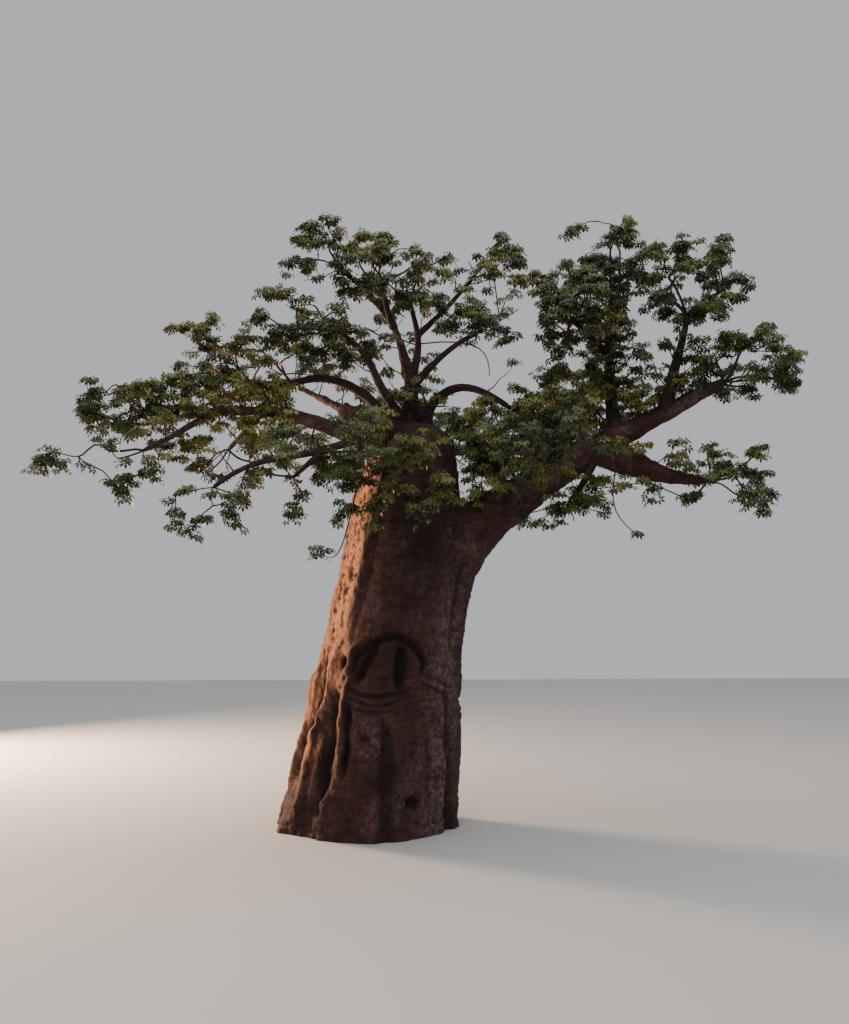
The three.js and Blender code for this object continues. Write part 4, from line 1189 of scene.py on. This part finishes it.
# Rosettes of palm-shaped leaves at the ends of short twigs. Those at one twig's end make a clump.
rosette = {
    "perEnd": 5,
    "perJoint": 1,
    "back": (0.05, 0.28),  # how far below its twig's end a rosette's twiglet may leave
    "along": 0.50,  # how much a twiglet keeps to its twig's way,
    "outward": 0.55,  # to the way out of the mass,
    "astray": 0.72,  # to no way at all
    "upward": 0.28,  # and to the way up
    "twigletLength": (0.04, 0.19),
    "twigletRadius": 0.0045,
    "leaves": 8,
    "petiole": (0.02, 0.12),
    "petioleRise": (-0.30, 1.30),
    "leafletLength": (0.080, 0.120),
    "leafletWidth": 0.40,  # as a share of its length
    "outline": [(0.06, 0), (0.52, 0.055), (0.60, 0.10), (0.98, -0.13)],  # root, rib, edge, tip: out, up
    "fan": [(-98, 0.72), (-50, 0.92), (0, 1.0), (50, 0.92), (98, 0.72)],  # degrees and share of length
    "droop": (0.30, 1.15),  # radians below level that a leaf hangs at
    "tilt": 0.22,
    "stalkWidth": 0.006,
    "woodRoom": 0.05,
}


def clumpTwigs(facts, joints, chance):
    starts, tips = [], []
    for joint in joints[1:]:
        along = joint["point"] - joints[joint["parent"]]["point"]
        length = np.linalg.norm(along)
        along = along / length
        outward = (joint["point"] - facts["middle"]) / facts["half"]
        outward = outward / max(np.linalg.norm(outward), 0.3)
        for index in range(rosette["perEnd"] if joint["load"] == 1 else rosette["perJoint"]):
            back = 0.0 if index == 0 else min(chance.uniform(*rosette["back"]), 0.8 * length)
            way = rosette["along"] * along + rosette["outward"] * outward
            way = way + chance.normal(size=3) * rosette["astray"] + rosette["upward"] * up
            way = way / np.linalg.norm(way)
            starts.append(joint["point"] - along * back)
            tips.append(starts[-1] + way * chance.uniform(*rosette["twigletLength"]))
    starts, tips = np.array(starts), np.array(tips)
    keep = isFree(facts, tips, growth["leafSlack"], rosette["woodRoom"])
    return starts[keep], tips[keep]


# Hanging twigs at the masses' lower outer edges, with rosettes along them.
hanging = {
    "masses": [
        "left_hanging_foliage", "left_low_foliage", "left_low_inner_foliage", "left_under_foliage",
        "right_under_foliage", "front_centre_foliage", "far_low_foliage",
    ],
    "share": 0.6,  # of the ends that could carry one
    "highest": 0.30,  # how high above the mass's middle one may start, in half sizes
    "innermost": 0.55,
    "length": (0.22, 0.50),
    "sag": 0.70,
    "radius": 0.0065,
    "rosettes": 3,
    "apart": 0.24,  # share of the length between two of them
}


def hangingTwigs(name, facts, joints, chance):
    points, starts, tips = [], [], []
    if name not in hanging["masses"]:
        return points, starts, tips
    for joint in joints[1:]:
        out = (joint["point"] - facts["middle"]) / facts["half"]
        outside = out[2] <= hanging["highest"] and np.linalg.norm(out) >= hanging["innermost"]
        if not outside or chance.random() > hanging["share"]:
            continue
        along = joint["point"] - joints[joint["parent"]]["point"]
        way = unit(along) * 0.5 + unit(out * (1, 1, 0)) * 0.6 + chance.normal(size=3) * 0.25
        way[2] = min(way[2], 0.15)
        length = chance.uniform(*hanging["length"])
        share = np.linspace(0, 1, 4)[:, None]
        path = joint["point"] + way * length * 0.75 * share - hanging["sag"] * up * length * share**2
        if not isFree(facts, path, growth["leafSlack"]).all():
            continue
        places = [1 - hanging["apart"] * number for number in range(hanging["rosettes"])]
        roots = np.array([pointAlong(path, place) for place in places])
        ends = roots + chance.normal(size=roots.shape) * 0.04 + (0, 0, -0.045)
        keep = thinned(ends, chance)
        if keep[0]:
            points.append(path)
            starts.extend(roots[keep] - (0, 0, 0.01))
            tips.extend(ends[keep])
    return points, starts, tips


# Twigs that stand out of a mass by themselves: where they end, and how many rosettes they carry.
strays = {
    "left_crest_foliage": [
        ((-2.98, 0.10, 7.66), 7), ((-2.40, 0.00, 7.76), 6), ((-2.68, 0.3, 7.55), 3),
        ((-3.05, -0.2, 6.75), 6), ((-2.75, -0.3, 6.45), 5), ((-2.15, -0.2, 7.02), 5),
        ((-2.45, -0.2, 7.02), 4),
    ],
    "left_shoulder_foliage": [
        ((-1.54, -0.50, 8.19), 5), ((-1.20, -0.40, 8.10), 4), ((-0.38, -0.5, 7.02), 8),
        ((-0.06, -0.45, 7.15), 7), ((-0.95, -0.5, 7.00), 3), ((-0.95, -0.4, 7.60), 5),
        ((-1.25, -0.4, 7.30), 4), ((-0.37, -0.45, 7.30), 5), ((-0.66, -0.4, 7.58), 7),
        ((-0.36, -0.4, 7.60), 4),
    ],
    "left_under_foliage": [
        ((-2.42, -0.5, 5.82), 4), ((-1.82, -0.6, 5.82), 3), ((-1.52, -0.6, 5.82), 4),
    ],
    "crown_left_foliage": [
        ((-0.94, 0.05, 9.32), 8), ((-1.05, 0.10, 9.05), 5), ((-0.97, 0.05, 8.57), 5),
        ((-1.25, 0.05, 8.57), 3), ((-0.38, 0.0, 8.25), 5), ((-0.38, 0.0, 8.55), 4),
    ],
    "crown_top_foliage": [
        ((-0.07, 0.0, 9.15), 6), ((0.20, 0.0, 9.12), 6), ((0.20, 0.0, 8.88), 5), ((-0.07, 0.0, 8.88), 4),
        ((0.82, 0.0, 8.86), 5),
    ],
    "crown_mid_foliage": [
        ((1.12, -0.1, 7.66), 6), ((1.42, -0.1, 7.72), 6), ((0.53, -0.1, 7.98), 5), ((0.82, -0.1, 7.95), 4),
    ],
    "crown_right_foliage": [
        ((1.12, 0.1, 8.58), 6), ((1.45, 0.1, 7.98), 5), ((2.04, 0.1, 8.90), 5), ((2.64, 0.1, 8.60), 4),
    ],
    "left_hanging_foliage": [
        ((-4.58, -1.60, 5.40), 5), ((-4.30, -1.75, 5.36), 4), ((-3.43, -1.9, 4.92), 5),
        ((-3.45, -1.2, 5.20), 4),
    ],
    "left_low_foliage": [
        ((-2.36, -2.5, 4.42), 5), ((-2.62, -2.3, 4.55), 4), ((-1.75, -2.6, 4.55), 4),
        ((-1.66, -2.3, 4.82), 4),
    ],
    "left_low_inner_foliage": [((-1.05, -1.9, 4.62), 4)],
    "front_centre_foliage": [((-0.64, -1.3, 5.46), 9), ((-0.64, -1.35, 5.18), 8), ((-0.64, -1.3, 5.72), 5)],
    "right_inner_foliage": [((1.68, -0.7, 6.38), 5)],
    "right_under_foliage": [((2.28, -0.5, 5.53), 6)],
    "right_crest_foliage": [((3.33, 0.45, 9.36), 5), ((3.23, 0.2, 8.30), 5)],
    "far_low_foliage": [((3.45, -0.4, 5.25), 6), ((2.60, -0.5, 4.66), 3)],
}


strayShape = {
    "radius": 0.008,
    "endShare": 0.7,  # of the number given, at the twig's end
    "apart": 0.16,  # metres of twig for each further rosette
    "bow": 0.10,
    "twigletLength": (0.04, 0.15),
}


def strayTwigs(name, joints, chance):
    points, starts, tips = [], [], []
    places = np.array([joint["point"] for joint in joints])
    for end, number in strays.get(name, []):
        end = np.array(end)
        nearest = places[np.argmin(np.linalg.norm(places - end, axis=1))]
        length = np.linalg.norm(end - nearest)
        share = np.linspace(0, 1, 4)[:, None]
        bow = strayShape["bow"] * up + chance.normal(size=3) * strayShape["bow"]
        path = nearest + (end - nearest) * share + bow * length * np.sin(np.pi * share)
        points.append(path)
        atTheEnd = strayShape["endShare"] * number
        for index in range(round(atTheEnd + length / strayShape["apart"])):
            if index < atTheEnd:
                back = 0.25 * min(1, 0.3 / length) * (index % 3)
            else:
                back = chance.uniform(0.1, 0.8)
            start = pointAlong(path, 1 - back)
            way = unit(chance.normal(size=3) * 0.8 + unit(end - nearest) * 0.5 + (0, 0, -0.1))
            starts.append(start)
            tips.append(start + way * chance.uniform(*strayShape["twigletLength"]))
    return points, starts, tips


# Thin twigs and a stalk that hang free: near where they start, two points they bend towards,
# where they end, and their rosettes.
danglers = {
    "front_centre_foliage": [
        ((-0.35, -1.35, 4.86), (-0.35, -1.35, 4.25), (-0.38, -1.35, 3.92), (-0.68, -1.35, 4.12), 3),
    ],
    "crown_mid_foliage": [
        ((1.75, -0.3, 7.65), (1.84, -0.5, 7.48), (1.82, -0.6, 7.15), (1.84, -0.6, 6.84), 0),
    ],
    "far_low_foliage": [
        ((3.52, -0.6, 5.16), (3.56, -0.6, 4.80), (3.80, -0.6, 4.66), (4.10, -0.6, 4.40), 1),
    ],
}
danglerRadii = (0.012, 0.007)  # where it starts and where it ends


def danglingTwigs(name, bough, joints, chance):
    curves, starts, tips = [], [], []
    share = np.linspace(0, 1, 9)[:, None]
    wood = np.array([*lines[bough][1:], *[joint["point"] for joint in joints]])
    for *bends, number in danglers.get(name, []):
        first, second, third, last = np.array(bends)
        first = wood[np.argmin(np.linalg.norm(wood - first, axis=1))]
        curve = first * (1 - share) ** 3 + 3 * second * share * (1 - share) ** 2
        curves.append(curve + 3 * third * share**2 * (1 - share) + last * share**3)
        for index in range(number):
            starts.append(last)
            tips.append(last + chance.normal(size=3) * 0.05 + (-0.05, 0, 0.03))
    return curves, starts, tips


# Where the crown is thin or lets the sky through, as it is seen from the photo's side and measured
# at the trunk's distance: middle (x, z), half sizes, and the share of the rosettes that is left.
thinPlaces = [
    ((-4.75, 5.70), (0.70, 0.34), 0.45),  # the left arm's hanging end
    ((-4.05, 5.35), (0.62, 0.42), 0.22),
    ((-2.55, 4.70), (1.30, 0.62), 0.30),  # under the left arm
    ((-1.95, 5.75), (0.42, 0.30), 0.30),
    ((-1.20, 5.05), (0.50, 0.45), 0.35),
    ((-0.75, 6.45), (0.42, 0.42), 0.15),  # round the broken stump
    ((-1.30, 7.05), (0.40, 0.26), 0.45),
    ((-2.75, 7.55), (0.34, 0.26), 0.20),  # between the crest's puffs
    ((-1.35, 8.15), (0.36, 0.36), 0.30),
    ((-0.70, 8.10), (0.30, 0.30), 0.20),
    ((-0.20, 8.15), (0.36, 0.26), 0.45),
    ((0.55, 7.65), (0.62, 0.50), 0.35),  # between the crown's boughs
    ((1.05, 8.00), (0.40, 0.30), 0.50),
    ((1.60, 8.90), (0.36, 0.30), 0.35),
    ((2.10, 8.20), (0.42, 0.26), 0.35),
    ((1.60, 7.10), (0.55, 0.48), 0.05),
    ((2.20, 7.20), (0.45, 0.32), 0.45),
    ((0.95, 6.55), (0.36, 0.34), 0.55),
    ((2.60, 8.90), (0.22, 0.30), 0.50),
    ((2.45, 5.05), (0.45, 0.30), 0.60),
    ((3.45, 4.60), (0.60, 0.30), 0.35),
    ((-4.58, 6.05), (0.26, 0.55), 0.10),
    ((-3.98, 5.80), (0.30, 0.22), 0.35),
    ((-3.98, 6.80), (0.22, 0.20), 0.25),
    ((1.27, 8.28), (0.34, 0.18), 0.08),
    ((2.62, 7.68), (0.20, 0.20), 0.15),
    ((-0.70, 8.45), (0.24, 0.30), 0.15),
    ((0.53, 8.85), (0.17, 0.50), 0.15),
    ((0.35, 6.98), (0.34, 0.24), 0.25),
    ((-0.97, 6.78), (0.20, 0.20), 0.20),
    ((-2.17, 5.88), (0.22, 0.22), 0.10),
    ((-2.77, 5.28), (0.22, 0.24), 0.30),
    ((-2.90, 4.85), (0.32, 0.36), 0.15),
    ((-2.65, 7.25), (0.30, 0.26), 0.35),
    ((3.38, 9.15), (0.36, 0.22), 0.25),
    ((3.05, 8.70), (0.30, 0.26), 0.45),
    ((-1.27, 8.88), (0.20, 0.20), 0.30),
    ((-3.38, 5.58), (0.20, 0.20), 0.40),
    ((-4.28, 5.58), (0.24, 0.20), 0.15),
    ((-2.48, 7.52), (0.20, 0.30), 0.30),
    ((1.43, 6.72), (0.22, 0.20), 0.15),
    ((2.62, 6.78), (0.20, 0.16), 0.30),
    ((3.83, 6.47), (0.20, 0.16), 0.30),
    ((2.05, 8.40), (0.24, 0.20), 0.40),
    ((-3.08, 4.70), (0.26, 0.30), 0.10),
    ((-4.28, 5.32), (0.24, 0.20), 0.15),
    ((-4.58, 6.78), (0.20, 0.20), 0.25),
    ((0.53, 7.08), (0.20, 0.18), 0.20),
    ((3.83, 5.28), (0.20, 0.20), 0.40),
    ((1.12, 7.98), (0.20, 0.16), 0.40),
    ((2.33, 7.98), (0.20, 0.20), 0.20),
    ((-0.68, 9.18), (0.18, 0.14), 0.40),
    ((-1.27, 5.28), (0.22, 0.20), 0.30),
]


# Which of the rosettes stay, by luck. An ease above 1 spares more of those in the thin places.
def thinned(tips, chance, ease=1):
    away = -cameraSetup["place"][1]
    nearer = away / (away + tips[:, 1])
    eyeHeight = cameraSetup["place"][2]
    seen = (tips[:, 0] * nearer, eyeHeight + (tips[:, 2] - eyeHeight) * nearer)
    luck = chance.random(len(tips))
    keep = np.ones(len(tips), bool)
    for middle, half, share in thinPlaces:
        out = np.hypot((seen[0] - middle[0]) / half[0], (seen[1] - middle[1]) / half[1])
        keep &= (out > 1) | (luck < ease * share)
    return keep


# A fine twig that ends where the crown is open goes, and then the one it has left bare.
def prunedTwigs(joints, firstFine, chance):
    for _ in range(2):
        parents = {joint["parent"] for joint in joints}
        keep = thinned(np.array([joint["point"] for joint in joints]), chance, 2)
        keep |= [index < firstFine or index in parents for index in range(len(joints))]
        place = np.cumsum(keep) - 1
        joints = [joint for joint, kept in zip(joints, keep) if kept]
        for joint in joints[1:]:
            joint["parent"] = int(place[joint["parent"]])
    return joints


# Leafy side twigs along the boughs: the share of a bough's length where they start, how far
# apart they stand, and whether they keep to its upper side.
sprigs = {
    "default": (0.60, 0.22, False),
    "right_great_bough": (0.34, 0.095, True),
    "left_great_bough": (0.26, 0.055, False),
    "left_upper_bough": (0.58, 0.20, False),
    "left_low_bough": (0.56, 0.22, False),
    "front_bough": (0.30, 0.20, False),
    "crown_bough": (0.66, 0.20, False),
    "crown_mid_bough": (0.62, 0.30, False),
    "crown_right_bough": (0.70, 0.26, False),
    "arch_bough": (0.78, 0.20, False),
    "right_low_bough": (0.40, 0.15, False),
    "right_upper_bough": (0.10, 0.060, False),
    "right_upper_fork": (0.20, 0.14, False),
    "far_upper_bough": (0.25, 0.14, False),
    "right_front_bough": (0.26, 0.11, False),
    "right_back_bough": (0.35, 0.14, False),
    "crown_back_bough": (0.45, 0.15, False),
    "back_bough": (0.38, 0.15, False),
    "back_left_bough": (0.34, 0.14, False),
    "back_right_bough": (0.40, 0.15, False),
}

sprigShape = {
    "length": (0.20, 0.50),
    "radius": 0.0085,
    "forward": 0.45,  # how much a side twig keeps to its bough's way
    "rise": 0.30,
    "waver": 0.03,
    "rosettes": 3,
    "apart": 0.26,  # share of the length between two of them
    "twigletLength": (0.07, 0.24),
}
sideTaper = (1.3, 1.1, 0.9, 0.7)  # how a side twig's radius falls from its foot to its end

# Sprigs low on some boughs, round the trunk's head: from and to as shares of the length, and how
# far apart they stand.
headSprigs = {
    "crown_bough": (0.16, 0.36, 0.055),
    "arch_bough": (0.16, 0.34, 0.10),
    "front_bough": (0.30, 0.36, 0.10),
    "right_great_bough": (0.16, 0.34, 0.07),
    "right_upper_bough": (0.06, 0.12, 0.08),
}


def boughSprigs(name, bars, chance):
    first, apart, upperSide = sprigs.get(name, sprigs["default"])
    limb = limbs[name]
    points, starts, tips = [], [], []
    low, high, step = headSprigs.get(name, (0, 0, 1))
    places = [*np.arange(low * limb["length"], high * limb["length"], step)]
    places += [*np.arange(first * limb["length"], limb["length"], apart)]
    for number, at in enumerate(places):
        share = at / limb["length"]
        root = pointAlong(lines[name], share)
        heading = headingAt(limb, share)[0]
        across = unit(np.cross(heading, (0.13, 0.21, 1.0)))
        over = np.cross(across, heading)
        turn = goldenAngle * number + chance.uniform(-0.5, 0.5)
        lift = abs(np.sin(turn)) if upperSide else np.sin(turn)
        way = heading * sprigShape["forward"] + across * np.cos(turn) + over * lift
        way = unit(way + sprigShape["rise"] * up)
        length = chance.uniform(*sprigShape["length"])
        radius = limbRadius(limb, share)
        steps = np.linspace(0, 1, 4)[:, None]
        path = root + way * (0.6 * radius + (0.4 * radius + length) * steps)
        path = path + chance.normal(size=(4, 3)) * sprigShape["waver"] * steps + 0.08 * up * steps**2
        if not offTheWood(bars, path[2:], growth["limbRoom"]).all():
            continue
        roots, ends = [], []
        for index in range(sprigShape["rosettes"]):
            start = pointAlong(path, 1 - sprigShape["apart"] * index)
            tipWay = unit(way * 0.5 + chance.normal(size=3) * 0.7 + (0, 0, 0.2))
            roots.append(start)
            ends.append(start + tipWay * chance.uniform(*sprigShape["twigletLength"]))
        keep = thinned(np.array(ends), chance)
        if keep[0]:  # a twig that loses its last leaf goes with it
            points.append(path)
            starts.extend(np.array(roots)[keep])
            tips.extend(np.array(ends)[keep])
    return points, starts, tips


# Five leaflets round each leaf's hub, of five points and four faces each, folded along the rib.
def leafBlades(hubs, ways, tops, sizes):
    sides = np.cross(tops, ways)
    points = []
    for degrees, share in rosette["fan"]:
        turn = np.radians(degrees)
        way = np.cos(turn) * ways + np.sin(turn) * sides
        across = np.cross(tops, way)
        length = (sizes * share)[:, None]
        half = across * rosette["leafletWidth"] * length / 2
        root, rib, edge, tip = [hubs + (way * out + tops * high) * length for out, high in rosette["outline"]]
        points.append(np.stack([root, rib, edge + half, edge - half, tip], axis=1))
    return np.stack(points, axis=1)


def leavesAt(starts, tips, chance):
    count, number = len(tips), rosette["leaves"]
    axis = unit(tips - starts)
    level = unit(axis * (1, 1, 0.2) + chance.normal(size=axis.shape) * 0.05)
    sideways = unit(np.cross(up, level))
    forward = np.cross(sideways, up)
    turn = chance.uniform(0, 2 * np.pi, (count, 1)) + goldenAngle * np.arange(number)
    around = np.cos(turn)[..., None] * forward[:, None] + np.sin(turn)[..., None] * sideways[:, None]
    lift = chance.uniform(*rosette["petioleRise"], (count, number, 1))
    petiole = unit(around + axis[:, None] * 0.55 + lift * up)
    reach = chance.uniform(*rosette["petiole"], (count, number, 1))
    roots = tips[:, None] - axis[:, None] * chance.uniform(0, 0.05, (count, number, 1))
    hubs = roots + petiole * reach
    hubs[..., 2] -= 0.25 * reach[..., 0]
    droop = chance.uniform(*rosette["droop"], (count, number, 1))
    flat = unit(petiole * (1, 1, 0))
    ways = flat * np.cos(droop) - np.sin(droop) * up
    tops = flat * np.sin(droop) + np.cos(droop) * up
    tops = tops + chance.normal(size=tops.shape) * rosette["tilt"]
    tops = unit(tops - (tops * ways).sum(-1, keepdims=True) * ways)
    sizes = chance.uniform(*rosette["leafletLength"], (count, number))
    blades = leafBlades(hubs.reshape(-1, 3), ways.reshape(-1, 3), tops.reshape(-1, 3), sizes.ravel())
    across = np.cross(petiole, tops) * rosette["stalkWidth"]
    stalks = np.stack([roots, roots + across, hubs], axis=2).reshape(-1, 3, 3)
    return blades, stalks


leafGreens = {
    # base colour, roughness
    "deepAndShadedLeaf": ((0.030, 0.045, 0.013, 1), 0.48),
    "midLeaf": ((0.054, 0.073, 0.018, 1), 0.50),
    "oliveLeaf": ((0.090, 0.098, 0.022, 1), 0.52),
    "youngAndLitLeaf": ((0.145, 0.142, 0.031, 1), 0.55),
}


def leafMaterial(name, base, roughness):
    material, tree, shader, place = newMaterial(name)
    tone = noiseOf(tree, place, (1, 1, 1), 26.0, 2)
    lighter = tuple(min(1, value * 1.35) for value in base[:3]) + (1,)
    darker = tuple(value * 0.70 for value in base[:3]) + (1,)
    colour = mixOf(tree, rangeOf(tree, tone, 0.35, 0.65), darker, lighter)
    tree.links.new(colour, shader.inputs["Base Color"])
    shader.inputs["Roughness"].default_value = roughness
    shader.inputs["Specular IOR Level"].default_value = 0.25
    addBump(tree, noiseOf(tree, place, (1, 1, 1), 240.0, 2), 0.3, 0.002)
    return material


greens = [leafMaterial(name, *look) for name, look in leafGreens.items()]

# The masses that make up one piece of leaves and one of twigs.
regions = {
    "left": ["left_tip_foliage", "left_hanging_foliage", "left_crest_foliage", "left_under_foliage"],
    "left_near": [
        "left_shoulder_foliage", "left_low_foliage", "left_low_inner_foliage", "front_centre_foliage",
        "front_far_foliage",
    ],
    "crown": [
        "crown_left_foliage", "crown_top_foliage", "crown_mid_foliage", "crown_far_foliage",
        "crown_right_foliage", "head_foliage",
    ],
    "right": [
        "right_inner_foliage", "right_mid_foliage", "right_under_foliage", "right_upper_foliage",
        "right_front_foliage",
    ],
    "far": ["right_crest_foliage", "far_upper_foliage", "far_end_foliage", "far_low_foliage"],
    "back": [
        "crown_back_foliage", "right_back_foliage", "back_far_foliage", "back_left_foliage",
        "back_right_foliage",
    ],
}

allBars = limbBars()

# What makes a spray's green lighter and yellower: lying far out and high up in its mass, and luck. This is
# partly young growth and partly painted light on the crown's lit tops and outsides, with painted shade inside
# and below.
sprayLight = {
    "outward": 0.45,
    "upward": 0.35,
    "luck": 0.30,
    "steps": (0.10, 0.48, 0.86),  # where each next green starts
}


# All that grows in one mass: its stem, twigs, twiglets and hanging, stray and side twigs as rods,
# and its leaves as blades and stalks with the green of each.
def growMass(name):
    facts = massFacts(name)
    chance = np.random.default_rng(growth["seed"] * 100 + facts["seed"])
    limb = limbs[facts["bough"]]
    tip = lines[facts["bough"]][-1]
    heading = headingAt(limb, 1)[0]
    knee = tip + heading * 2 * limb["tip"]
    first, fine = twigEnds(facts)
    joints = growTwigs(facts, [dict(point=knee, path=0, parent=None, load=0)], first)
    firstFine = len(joints)
    joints = prunedTwigs(growTwigs(facts, joints, fine), firstFine, chance)
    loadTwigs(joints, 0.7 * limb["tip"])
    stem = np.array([[tip - 0.10 * heading, tip + 0.02 * heading, knee]])
    stemRadii = np.array([[1.04, 0.97, 0.72]]) * limb["tip"]
    twigPoints, twigRadii = twigRods(joints, heading, chance)
    starts, tips = clumpTwigs(facts, joints, chance)
    hangers = hangingTwigs(name, facts, joints, chance)
    stray = strayTwigs(name, joints, chance)
    dangling = danglingTwigs(name, facts["bough"], joints, chance)
    side = boughSprigs(facts["bough"], allBars, chance)
    keep = thinned(tips, chance)
    starts = np.array([*starts[keep], *hangers[1], *stray[1], *dangling[1], *side[1]])
    tips = np.array([*tips[keep], *hangers[2], *stray[2], *dangling[2], *side[2]])
    low = np.array(cadBox[0]) - growth["boxRoom"]
    high = np.array(cadBox[1]) + growth["boxRoom"]
    keep = ((tips > low) & (tips < high)).all(axis=1)
    starts, tips = starts[keep], tips[keep]
    blades, stalks = leavesAt(starts, tips, chance)
    # Greens by place: partly young growth, partly painted light out and up and painted shade in and below.
    out = (tips - facts["middle"]) / facts["half"]
    light = sprayLight["outward"] * np.linalg.norm(out, axis=1) + sprayLight["upward"] * out[:, 2]
    light = light + chance.normal(size=len(tips)) * sprayLight["luck"]
    green = np.digitize(light, sprayLight["steps"])
    shortRadii = np.full((len(starts), 3), rosette["twigletRadius"]) * (1.25, 1.0, 0.8)
    middles = (starts + tips) / 2 + chance.normal(size=starts.shape) * 0.012
    shortPoints = np.stack([starts, middles, tips], axis=1)
    wood = [rods(stem, stemRadii, 10), rods(twigPoints, twigRadii, 5), rods(shortPoints, shortRadii, 3)]
    for (paths, _, _), shape in ((hangers, hanging), (stray, strayShape), (side, sprigShape)):
        if paths:
            thickness = np.full((len(paths), 4), shape["radius"]) * sideTaper
            wood.append(rods(np.array(paths), thickness, 4))
    for curve in dangling[0]:
        wood.append(rods(curve[None], np.linspace(*danglerRadii, len(curve))[None], 5))
    return wood, blades, stalks, np.repeat(green, rosette["leaves"])


def leafMeshArrays(blades, stalks, green):
    count, fan = blades.shape[:2]
    points = blades.reshape(-1, 3)
    root = np.arange(count * fan)[:, None] * 5
    faces = np.concatenate([root + corners for corners in ([0, 3, 1], [0, 1, 2], [3, 4, 1], [1, 4, 2])])
    stalkFaces = len(points) + np.arange(count * 3).reshape(-1, 3)
    greenOf = np.concatenate([np.tile(np.repeat(green, fan), 4), green])
    return np.concatenate([points, stalks.reshape(-1, 3)]), np.concatenate([faces, stalkFaces]), greenOf


def foliagePieces():
    for region, names in regions.items():
        wood, leafPoints, leafFaces, leafGreen, offset = [], [], [], [], 0
        for name in names:
            rodsHere, blades, stalks, green = growMass(name)
            wood += [(spots, [quads, caps]) for spots, quads, caps in rodsHere]
            points, faces, greenOf = leafMeshArrays(blades, stalks, green)
            leafPoints.append(points)
            leafFaces.append(faces + offset)
            leafGreen.append(greenOf)
            offset += len(points)
        points, groups = joinParts(wood)
        twigs = meshFrom(f"{region}_twigs", points, groups, [shadedBoughBark])
        standIn(twigs, names)
        leaves = meshFrom(
            f"{region}_leaves", np.concatenate(leafPoints), [np.concatenate(leafFaces)], greens,
            np.concatenate(leafGreen),
        )
        standIn(leaves, names)
        triangles = sum(len(group) * (group.shape[1] - 2) for group in groups)
        print(region, "has", triangles, "triangles of twigs and", sum(map(len, leafFaces)), "of leaves")


foliagePieces()
print("foliage grown")
